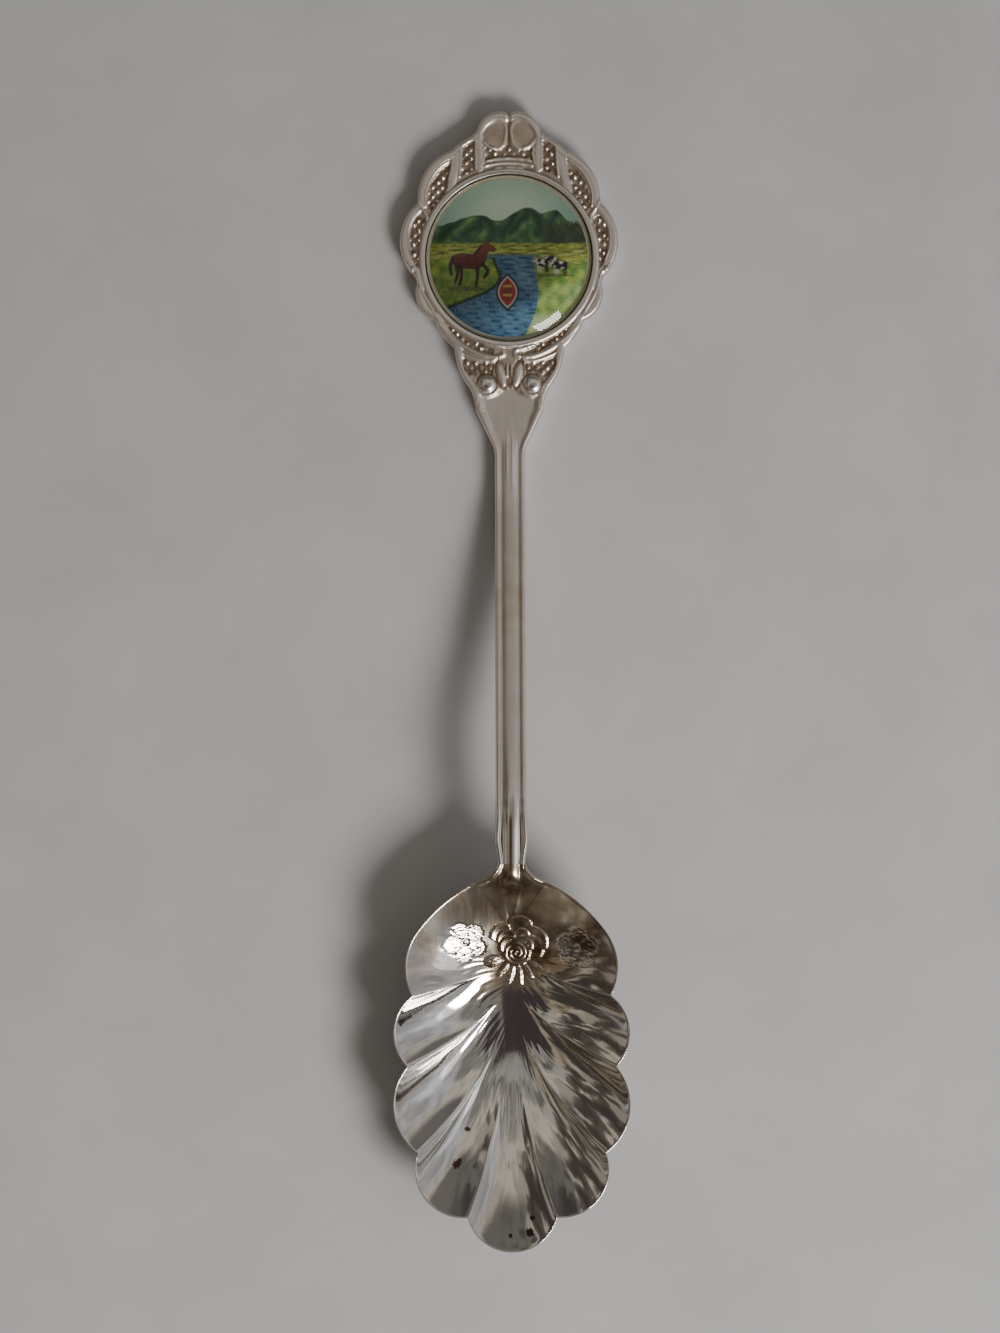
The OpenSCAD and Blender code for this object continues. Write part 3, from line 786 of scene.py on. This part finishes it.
# ---- materials
class Nodes:
    """A short way to write the nodes of a material or a world."""

    def __init__(self, owner):
        owner.use_nodes = True
        self.owner, self.tree = owner, owner.node_tree

    def socket(self, node, name):
        return self.tree.nodes[node].inputs[name]

    def shade(self, name, value):
        self.put(self.socket("Principled BSDF", name), value)

    def put(self, socket, value):
        if isinstance(value, bpy.types.NodeSocket):
            self.tree.links.new(value, socket)
        else:
            socket.default_value = value

    def node(self, kind, out=0, settings=(), **inputs):
        """A new node's output; i0=, i1= and so on name an input by its number."""
        n = self.tree.nodes.new(kind)
        for key, value in dict(settings).items():
            setattr(n, key, value)
        for key, value in inputs.items():
            by_number = key[0] == "i" and key[1:].isdigit()
            self.put(n.inputs[int(key[1:]) if by_number else key], value)
        return n.outputs[out]

    def math(self, operation, a, b=0.0, clamp=False):
        settings = {"operation": operation, "use_clamp": clamp}
        return self.node("ShaderNodeMath", 0, settings, i0=a, i1=b)

    def multiply(self, a, b):
        return self.math("MULTIPLY", a, b)

    def attribute(self, name):
        return self.node("ShaderNodeAttribute", "Fac", {"attribute_name": name})

    def noise(self, scale, detail, roughness, vector=None):
        v = vector if vector is not None else self.node("ShaderNodeTexCoord", "Object")
        return self.node("ShaderNodeTexNoise", "Fac", {},
                         Vector=v, Scale=scale, Detail=detail, Roughness=roughness)

    def ramp(self, value, low, high, to_low=0.0, to_high=1.0):
        return self.node("ShaderNodeMapRange", 0, {"interpolation_type": "SMOOTHSTEP"},
                         i0=value, i1=low, i2=high, i3=to_low, i4=to_high)

    def blend(self, fac, a, b):
        n = self.tree.nodes.new("ShaderNodeMix")
        n.data_type = "RGBA"
        sockets = {s.identifier: s for s in n.inputs}
        for key, value in (("Factor_Float", fac), ("A_Color", a), ("B_Color", b)):
            self.put(sockets[key], value)
        return next(s for s in n.outputs if s.identifier == "Result_Color")


def rgb(red, green, blue):
    """Linear colour from 0 to 255 display values."""
    shares = (c / 255 for c in (red, green, blue))
    return (*(((c + 0.055) / 1.055) ** 2.4 if c > 0.04 else c / 12.92 for c in shares), 1.0)


# Spots where the plate has broken through: (x, y, size)
PITS = ((-4.5, -45.6, 0.28), (-5.6, -49.0, 0.42), (-5.3, -48.6, 0.25), (1.75, -55.6, 0.4),
        (-0.2, -55.9, 0.22), (2.0, -54.2, 0.25))


def silver_plate():
    n = Nodes(bpy.data.materials.new("worn_silver_plate"))
    polish, tarnish_and_painted_reflection = n.attribute("polish"), n.attribute("tarnish_and_painted_reflection")
    place = n.node("ShaderNodeTexCoord", "Object")
    patches = n.noise(160, 4, 0.55, place)
    grain = n.noise(2600, 3, 0.6, place)
    stretched = n.node("ShaderNodeMapping", 0, {}, Vector=place, Scale=(6.0, 0.5, 1.0))
    streaks = n.noise(420, 3, 0.6, stretched)
    cloud = n.ramp(patches, 0.42, 0.7)
    fac = n.math("ADD", tarnish_and_painted_reflection, n.multiply(cloud, 0.18), clamp=True)
    fac = n.multiply(fac, n.ramp(n.noise(700, 4, 0.6, place), 0.2, 0.62, 0.55, 1.0))
    warm = n.blend(n.ramp(patches, 0.35, 0.65), rgb(222, 214, 208), rgb(238, 231, 225))
    mirror = n.blend(n.ramp(patches, 0.35, 0.65), rgb(214, 211, 206), rgb(228, 225, 220))
    bright = n.blend(polish, warm, mirror)
    # Tarnish, and the heel's painted dark reflection, turn the plate tan first, and then brown
    colour = n.blend(n.ramp(fac, 0.0, 0.5, 0.0, 0.8), bright, rgb(192, 173, 152))
    brown = n.blend(n.ramp(grain, 0.35, 0.65), rgb(96, 76, 62), rgb(134, 110, 90))
    colour = n.blend(n.ramp(fac, 0.3, 1.0, 0.0, 0.9), colour, brown)
    # The pits are ragged, and only on the polished side
    flat = n.node("ShaderNodeVectorMath", 0, {"operation": "MULTIPLY"}, i0=place, i1=(1, 1, 0))
    ragged = n.noise(5200, 3, 0.7, place)
    spots = 0.0
    for x, y, size in PITS:
        away = n.node("ShaderNodeVectorMath", "Value", {"operation": "DISTANCE"},
                      i0=flat, i1=(x * MM, y * MM, 0))
        spot = n.math("LESS_THAN", away, n.multiply(ragged, size * MM * 2.0))
        spots = n.math("MAXIMUM", spots, spot)
    spots = n.multiply(spots, n.math("GREATER_THAN", polish, 0.9))
    colour = n.blend(spots, colour, rgb(52, 28, 20))
    n.shade("Base Color", colour)
    n.shade("Metallic", n.math("SUBTRACT", 1.0, n.multiply(spots, 0.8)))
    rough = n.math("ADD", n.ramp(polish, 0.0, 1.0, 0.33, 0.045), n.multiply(fac, 0.16))
    rough = n.math("ADD", rough, n.multiply(n.ramp(streaks, 0.3, 0.75), 0.07))
    rough = n.math("ADD", rough, n.multiply(spots, 0.4), clamp=True)
    n.shade("Roughness", rough)
    height = n.math("ADD", n.multiply(grain, n.ramp(polish, 0, 1, 1.0, 0.1)),
                    n.multiply(n.noise(420, 2, 0.5, place), 0.8))
    height = n.math("SUBTRACT", height, n.multiply(spots, 4.0))
    n.shade("Normal", n.node("ShaderNodeBump", 0, {}, Strength=0.35, Distance=0.00003, Height=height))
    return n.owner


def plain(name, low, high, scale, roughness, bump=0.00001):
    """A matt material whose colour wanders between two tones."""
    n = Nodes(bpy.data.materials.new(name))
    noise = n.noise(scale, 4, 0.6)
    n.shade("Base Color", n.blend(n.ramp(noise, 0.3, 0.7), rgb(*low), rgb(*high)))
    n.shade("Roughness", n.ramp(noise, 0.2, 0.8, roughness - 0.06, roughness + 0.06))
    n.shade("Normal", n.node("ShaderNodeBump", 0, {}, Strength=0.3, Distance=bump, Height=noise))
    return n.owner


def printed_picture():
    n = Nodes(bpy.data.materials.new("printed_landscape"))
    colour = n.node("ShaderNodeAttribute", "Color", {"attribute_name": "paint"})
    dots = n.noise(4200, 2, 0.5)
    n.shade("Base Color", n.blend(n.ramp(dots, 0.35, 0.65, 0, 0.08), colour, rgb(30, 30, 30)))
    n.shade("Roughness", n.ramp(dots, 0.3, 0.7, 0.4, 0.5))
    return n.owner


def clear_resin():
    n = Nodes(bpy.data.materials.new("clear_resin"))
    clear = n.node("ShaderNodeBsdfTransparent", 0, {}, Color=(0.985, 0.985, 0.97, 1))
    scuffs = n.ramp(n.noise(900, 4, 0.7), 0.45, 0.75, 0.015, 0.06)
    gloss = n.node("ShaderNodeBsdfGlossy", 0, {}, Color=(1, 1, 1, 1), Roughness=scuffs)
    edge = n.multiply(n.node("ShaderNodeFresnel", 0, {}, IOR=1.5), 0.8)
    both = n.node("ShaderNodeMixShader", 0, {}, i0=edge, i1=clear, i2=gloss)
    n.put(n.socket("Material Output", "Surface"), both)
    return n.owner


# ---- the picture
RIDGE = [(-8.4, 2.9), (-6.2, 3.5), (-4.4, 4.1), (-2.6, 4.3), (-1.0, 3.7), (0.6, 4.6), (2.1, 5.1),
         (3.4, 4.5), (4.9, 4.8), (6.2, 3.6), (8.4, 3.2)]
SPURS = [[(2.1, 5.0), (1.3, 3.9), (0.2, 2.7)], [(2.1, 5.0), (3.0, 4.0), (3.3, 2.6)],
         [(-2.6, 4.2), (-3.3, 3.2), (-4.7, 2.4)], [(4.9, 4.7), (4.3, 3.6), (4.6, 2.4)],
         [(-2.6, 4.2), (-1.7, 3.2), (-1.5, 2.2)], [(0.6, 4.5), (0.1, 3.4), (-0.9, 2.4)],
         [(-4.9, 3.9), (-6.0, 3.0), (-6.9, 2.3)]]
# The river's right bank, its foot at the picture's edge, and its left bank
RIVER_RIGHT = [(-1.6, 0.1), (0.6, 0.25), (2.4, 0.1), (2.6, -1.2), (2.9, -2.6), (3.0, -4.0), (2.6, -5.6),
               (1.9, -7.2), (0.6, -8.6), (-4.6, -8.4)]
RIVER_LEFT = [(-7.4, -5.9), (-6.4, -5.1), (-4.2, -4.2), (-1.9, -3.2), (-0.9, -2.0), (-1.3, -0.8)]
RIVER_STEPS = 4
RIVER = [tuple(p) for p in smooth_line(RIVER_RIGHT + RIVER_LEFT + RIVER_RIGHT[:1], RIVER_STEPS)]
BANK = RIVER[len(RIVER_RIGHT) * RIVER_STEPS:-1]
HORSE = [(-5.6, 0.2), (-4.9, 0.45), (-3.9, 0.3), (-3.25, 0.55), (-2.7, 1.3), (-2.35, 1.55), (-2.1, 1.8),
         (-2.05, 1.5), (-1.4, 0.95), (-1.55, 0.68), (-2.1, 0.8), (-2.25, 0.2), (-2.5, -0.6), (-3.1, -1.1),
         (-4.2, -1.05), (-5.1, -0.9), (-5.65, -0.6)]
HORSE_MANE = [(-3.4, 0.5), (-2.75, 1.3)]
HORSE_LEGS_AND_TAIL = [
    [(-5.4, -0.6), (-5.2, -1.5), (-5.45, -2.4)], [(-4.95, -0.8), (-4.8, -1.6), (-5.0, -2.7)],
    [(-3.2, -0.9), (-3.2, -1.8), (-3.35, -2.9)], [(-2.7, -0.6), (-2.15, -1.3), (-2.5, -1.9)],
    [(-5.65, 0.0), (-5.95, -0.8), (-5.85, -1.6)],
]
# (x, y, size) of each cow
CATTLE = ((4.4, -0.1, 0.55), (3.4, -0.45, 0.66), (5.2, -0.7, 0.78))
CANOE = (-0.15, -3.45)
SEATS_Y = (-2.85, -3.75)


def paint(x, y):
    """The landscape's colour at (x, y) from the picture's middle."""
    out = np.zeros(x.shape + (3,))

    def lay(mask, colour, other=None, how=None):
        base = np.array(rgb(*colour)[:3])
        c = base if other is None else mix(base, np.array(rgb(*other)[:3]), np.clip(how, 0, 1)[..., None])
        m = np.clip(mask, 0.0, 1.0)[..., None]
        out[:] = out * (1 - m) + c * m

    def blob(cx, cy, rx, ry, soft=0.25):
        return step(1 + soft, 1 - soft, ((x - cx) / rx) ** 2 + ((y - cy) / ry) ** 2 + 0.15 * fine)

    def hull(half, reach):
        outline = half * (1 - ((y - CANOE[1]) / reach) ** 2)
        return step(0, 0.16, outline - np.abs(x - CANOE[0]))

    broad, medium = ripple(x, y, 3.5, 0.7), ripple(x, y, 1.2, 2.2)
    fine = 0.6 * ripple(x + 0.3 * medium, y * 1.9, 0.62, 4.1)
    fine = fine + 0.55 * ripple(x * 1.4 - y, y * 2.3 + x * 0.4, 0.41, 7.7)
    # Sky
    lay(np.ones_like(x), (150, 202, 190), (228, 250, 228), 1.2 - np.hypot(x, y - 4) / 7)
    # Mountains with dark spurs and lit shoulders, and a dark wood at the right
    ridge_y = np.interp(x, *zip(*smooth_line(RIDGE))) + 0.05 * medium
    land = step(0.06, -0.06, y - ridge_y)
    spur = np.min([distance(x + 0.15 * medium, y, smooth_line(line)) for line in SPURS], axis=0)
    slope = np.clip(spur / 0.9, 0, 1) * (0.45 + 0.3 * medium + 0.2 * broad)
    lay(land, (38, 92, 66), (104, 168, 94), slope - 0.12 * fine)
    lay(land * step(0.4, 0.05, spur) * 0.55, (18, 46, 36))
    lay(land * step(0.35, 0.9, spur) * step(0.1, 0.5, medium + fine * 0.5) * 0.65, (140, 188, 104))
    lay(step(0.14, 0.03, np.abs(y - ridge_y + 0.06)) * 0.55, (20, 44, 40))
    foothills = step(2.9, 2.1, y + 0.3 * medium) * (0.6 + 0.4 * fine)
    lay(foothills, (28, 66, 46), (68, 122, 64), 0.5 + 0.5 * medium)
    wood = step(3.2, 4.4, x + 0.4 * medium) * step(3.9, 3.3, y + 0.3 * fine) * 0.95
    lay(wood, (28, 46, 34), (72, 98, 56), 0.35 + 0.5 * fine + 0.2 * medium)
    # Fields, from far to near
    lay(step(1.6, 1.4, y + 0.1 * medium), (118, 156, 54), (206, 202, 84), 0.5 + 0.7 * fine)
    far = ripple(x * 0.45 + 0.2 * broad, y * 2.6, 0.8, 5.5)
    hedges = step(1.35, 1.2, y + 0.12 * medium) * step(0.1, 0.3, y) * step(0.15, 0.6, far)
    lay(hedges * 0.75, (58, 92, 46))
    lay(step(1.2, 1.0, y + 0.12 * medium) * step(-0.2, -0.7, far) * 0.6, (222, 222, 140))
    haze = step(0.5, 0.35, y + 0.08 * medium) * step(5.2, 3.0, np.abs(x + 1.2))
    lay(haze, (72, 104, 112), (128, 152, 148), 0.4 + 0.6 * fine)
    meadow = step(-0.25, -0.55, y + 0.14 * medium - 0.15 * np.clip(-x - 1, 0, 2))
    lay(meadow, (84, 138, 54), (176, 194, 84), 0.5 + 0.5 * medium + 0.4 * fine)
    tufts = step(-1.2, -2.6, y) * step(1, -1, x) * step(-0.2, 0.5, fine + 0.4 * medium)
    lay(tufts * 0.75, (66, 88, 38))
    # Water with waves, its dark left bank and its bright right one
    water = inside(x + 0.06 * fine, y + 0.05 * medium, RIVER)
    waves = ripple(x * 0.6 + 0.15 * medium, y * 2.0, 0.8, 3.3)
    lay(water, (38, 88, 138), (118, 166, 190), 0.35 + 0.3 * waves + 0.3 * fine + 0.2 * broad)
    lay(water * step(0.3, 0.9, -waves) * 0.6, (22, 52, 96))
    lay(water * step(0.4, 0.8, -fine) * step(-1, -3, y) * 0.6, (150, 180, 190))
    lay(step(0.24, 0.08, distance(x, y, BANK) + 0.06 * fine), (40, 54, 32))
    shore = step(2.7, 3.1, x + 0.2 * fine) * step(-2.0, -2.8, y) * (1 - water)
    lay(shore, (110, 154, 74), (186, 204, 118), 0.5 + 0.5 * medium + 0.3 * fine)
    lay(step(1.6, 2.4, x + 0.2 * fine) * step(-5.2, -6.4, y) * (1 - water), (196, 212, 160))
    # A brown horse with dark legs, and its shadow
    lay(step(0.10, 0.0, distance(x, y, HORSE + HORSE[:1])), (44, 18, 14))
    lay(inside(x, y, HORSE), (88, 34, 24), (138, 66, 42), 0.3 + 0.6 * fine + 0.5 * (y + 0.2))
    for line in HORSE_LEGS_AND_TAIL:
        lay(step(0.24, 0.14, distance(x, y, smooth_line(line)) + 0.03 * (-1 - y)), (50, 22, 18))
    lay(step(0.16, 0.06, distance(x, y, HORSE_MANE)), (38, 14, 12))
    lay(blob(-4.2, -3.1, 1.9, 0.25) * 0.6, (60, 76, 34))
    # Black and white cattle with four legs each, and their shadow
    for cx, cy, size in CATTLE:
        for side in (-0.75, -0.4, 0.4, 0.7):
            leg = [(cx + side * size, cy), (cx + (side + 0.1) * size, cy - 1.4 * size)]
            lay(step(0.13, 0.05, distance(x, y, leg)), (26, 26, 30) if side > 0 else (206, 206, 196))
        lay(blob(cx, cy, 1.12 * size, 0.62 * size), (18, 18, 22))
        patches = step(0.1, 0.25, ripple(x, y, 0.7, cx))
        lay(blob(cx, cy, 1.0 * size, 0.5 * size) * patches, (232, 232, 222))
        lay(blob(cx - 1.15 * size, cy + 0.35 * size, 0.36 * size, 0.28 * size), (230, 226, 212))
        lay(blob(cx - 1.25 * size, cy + 0.45 * size, 0.16 * size, 0.12 * size), (30, 26, 26))
    lay(blob(4.6, -1.75, 1.9, 0.18) * 0.7, (70, 92, 44))
    # An empty red canoe with a pale gunwale and two wooden seats, in its dark wake
    lay(hull(1.25, 2.0), (22, 36, 66))
    lay(hull(1.05, 1.7), (216, 218, 212))
    lay(hull(0.92, 1.52), (160, 22, 28), (206, 48, 42), 0.5 + 0.5 * fine)
    lay(hull(0.6, 1.15), (96, 40, 28), (150, 84, 46), 0.5 + 0.5 * fine)
    for seat_y in SEATS_Y:
        lay(step(0.17, 0.09, distance(x, y, [(-0.5, seat_y), (0.2, seat_y)])), (214, 160, 92))
    return np.clip(out, 0, 1)


def disc(name, rings, columns, radius, z):
    """A disc on the head, with its points' places; rings are shares of its radius, z one height or many."""
    angle = np.linspace(0, 2 * math.pi, columns, endpoint=False)
    r = radius * rings[1:, None]
    x = np.concatenate([[0], (r * np.cos(angle)).ravel()])
    y = np.concatenate([[0], (r * np.sin(angle)).ravel()])
    heights = np.broadcast_to(z, rings.shape)
    heights = np.concatenate([heights[:1], np.repeat(heights[1:], columns)])
    k = np.arange(columns)
    nxt = (k + 1) % columns
    faces = [(0, 1 + a, 1 + b) for a, b in zip(k, nxt)]
    for ring in range(len(rings) - 2):
        low, high = 1 + ring * columns, 1 + (ring + 1) * columns
        faces += [(low + a, high + a, high + b, low + b) for a, b in zip(k, nxt)]
    mesh = bpy.data.meshes.new(name)
    points = on_head(x, y, heights) * MM
    mesh.from_pydata(points.tolist(), [], [tuple(map(int, f)) for f in faces])
    mesh.shade_smooth()
    return add_object(name, mesh), x, y


# ---- pieces
def finish_piece(piece, material, node):
    piece.data.materials.append(material)
    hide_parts(node)
    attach(piece, "root")


grids = Grids()
stem_top, stem_bottom = add_stem(grids)
add_head(grids, stem_top[-1], stem_bottom[-1])
add_bowl(grids, stem_top[0], stem_bottom[0])
finish_piece(grids.build("silver_spoon"), silver_plate(), "spoon_blank")

picture, px, py = disc("landscape_print", np.linspace(0, 1, 86), 380, PICTURE_R, Z_PICTURE + PICTURE_T)
colours = np.concatenate([paint(px, py), np.ones((len(px), 1))], 1)
paint_layer = picture.data.color_attributes.new("paint", "FLOAT_COLOR", "POINT")
paint_layer.data.foreach_set("color", colours.ravel())
finish_piece(picture, printed_picture(), "picture_film")

# The resin's top is nearly flat, and rolls over towards its edge
share = np.sin(np.linspace(0, math.pi / 2, 60))
roll = np.clip((share - 0.6) / 0.4, 0, 1)
crown_h = DOME_EDGE_H + DOME_CROWN_H - DOME_LIP_H
crown = Z_PICTURE + DOME_LIP_H + crown_h * (1 - 0.04 * share**2 - 0.96 * roll**2.2)
lip = Z_PICTURE + DOME_LIP_H * np.array([0.5, 0.05, 0.0])
dome, _, _ = disc("resin_dome", np.concatenate([share, [1, 1, 0.97]]), 180, INSERT_R,
                  np.concatenate([crown, lip]))
finish_piece(dome, clear_resin(), "clear_dome")

for node, material in (
    ("label_disc", plain("cream_label", (226, 220, 200), (240, 236, 220), 900, 0.5)),
    ("adhesive_film", plain("dried_adhesive", (190, 176, 140), (214, 202, 170), 700, 0.45)),
):
    mesh = frame["nodes"][node].data
    mesh.materials.clear()
    mesh.materials.append(material)


# ---- stage, light and camera
FLOOR_HALF = 6
FLOOR_GAP = 0.00002
CAMERA_HEIGHT = 0.32
SENSOR_H = 36
# The camera frames this height of the scene, at the middle height of the spoon
VIEW_H = 0.1341
VIEW_Z = 0.004


def stage_floor():
    corners = [(x * FLOOR_HALF, y * FLOOR_HALF, 0) for x, y in ((-1, -1), (1, -1), (1, 1), (-1, 1))]
    mesh = bpy.data.meshes.new("floor")
    mesh.from_pydata(corners, [], [(0, 1, 2, 3)])
    floor = add_object("floor", mesh)
    floor.location.z = -FLOOR_GAP
    floor.data.materials.append(plain("pale_floor", (186, 186, 187), (194, 194, 194), 60, 0.9, 0.0001))
    floor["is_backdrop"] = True


def window_light():
    place = Vector((0.27, -0.33, 0.3))
    target = Vector((0.14, -0.17, 0))
    light = bpy.data.lights.new("window", "AREA")
    light.shape = "RECTANGLE"
    light.size, light.size_y = 0.2, 0.17
    light.energy = 2.8
    light.color = (1.0, 0.985, 0.96)
    window = add_object("window", light)
    window.location = place
    window.rotation_euler = (target - place).to_track_quat("-Z", "Y").to_euler()


def world_light():
    """A dim room: a soft bright side, dark sides, and the darker shape of someone leaning over."""
    world = bpy.data.worlds.new("room")
    bpy.context.scene.world = world
    n = Nodes(world)
    way = n.node("ShaderNodeTexCoord", "Generated")
    x, y, z = (n.node("ShaderNodeSeparateXYZ", axis, {}, i0=way) for axis in "XYZ")
    uneven = n.noise(2.6, 2, 0.5, way)
    clutter = n.noise(1.9, 2, 0.5, n.node("ShaderNodeMapping", 0, {}, Vector=way, Scale=(1.0, 3.4, 1.0)))
    beside = n.math("ABSOLUTE", n.math("ADD", x, 0.07))
    head = n.multiply(n.ramp(y, -0.07, -0.12), n.ramp(y, -0.56, -0.44))
    shade = (0.05, 0.045, 0.042)

    def toward(direction, inner, outer):
        """1 within inner degrees of the direction, and 0 beyond outer."""
        length = math.hypot(*direction)
        dot = n.node("ShaderNodeVectorMath", "Value", {"operation": "DOT_PRODUCT"},
                     i0=way, i1=tuple(c / length for c in direction))
        return n.ramp(dot, math.cos(math.radians(outer)), math.cos(math.radians(inner)))

    layers = (
        # A pale wall that the bowl's middle reflects, and darker ones for its tip and its heel
        (n.ramp(y, 0.12, 0.22), (0.56, 0.52, 0.45)),
        (n.ramp(y, 0.42, 0.56), (0.165, 0.155, 0.145)),
        (n.ramp(y, -0.3, -0.5), (0.30, 0.25, 0.18)),
        (n.ramp(y, -0.62, -0.76), (0.18, 0.155, 0.12)),
        # The dark side, which the right lobes reflect, with pale things in it
        (n.ramp(x, -0.34, -0.56), (0.115, 0.095, 0.083)),
        (n.multiply(n.ramp(clutter, 0.54, 0.58), n.ramp(x, -0.2, -0.4)), (0.46, 0.43, 0.36)),
        # The bright side, the glow round the window, the window, and its gleam on the ceiling
        (n.multiply(n.ramp(x, 0.42, 0.66), n.ramp(y, 0.42, 0.3)), (0.64, 0.64, 0.66)),
        (toward((0.85, -0.2, 0.45), 6, 22), (0.8, 0.82, 0.9)),
        (toward((0.7, -0.32, 0.6), 8, 13), (1.9, 1.9, 1.9)),
        (toward((-0.5, -0.28, 0.82), 7, 16), (0.36, 0.30, 0.22)),
        # Shade, most of it at the dark side
        (n.ramp(uneven, 0.44, 0.58, 0.0, 0.4), shade),
        (n.multiply(n.ramp(clutter, 0.49, 0.45, 0.0, 0.75), n.ramp(x, 0.12, -0.12, 0.25, 1.0)), shade),
        # The one who leans over the table
        (n.multiply(n.ramp(beside, 0.28, 0.21), head), (0.06, 0.048, 0.05)),
        # The pale horizon
        (n.multiply(n.ramp(z, 0.12, 0.03), n.ramp(y, -0.75, -0.55)), (0.36, 0.36, 0.36)),
    )
    room = n.blend(n.ramp(z, 0.0, 0.9), (0.10, 0.095, 0.09, 1), (0.38, 0.365, 0.345, 1))
    for factor, colour in layers:
        room = n.blend(factor, room, (*colour, 1))
    n.put(n.socket("Background", "Color"), room)


stage_floor()
world_light()
window_light()

lens = bpy.data.cameras.new("camera")
lens.sensor_fit = "VERTICAL"
lens.sensor_height = SENSOR_H
lens.lens = SENSOR_H * (CAMERA_HEIGHT - VIEW_Z) / VIEW_H
camera = add_object("camera", lens)
camera.location = (-0.00105, 0.00123, CAMERA_HEIGHT)
camera.rotation_euler = (0, 0, math.radians(-0.2))
bpy.context.scene.camera = camera

[list(corner) for corner in (cad_low, cad_high, *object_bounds())]
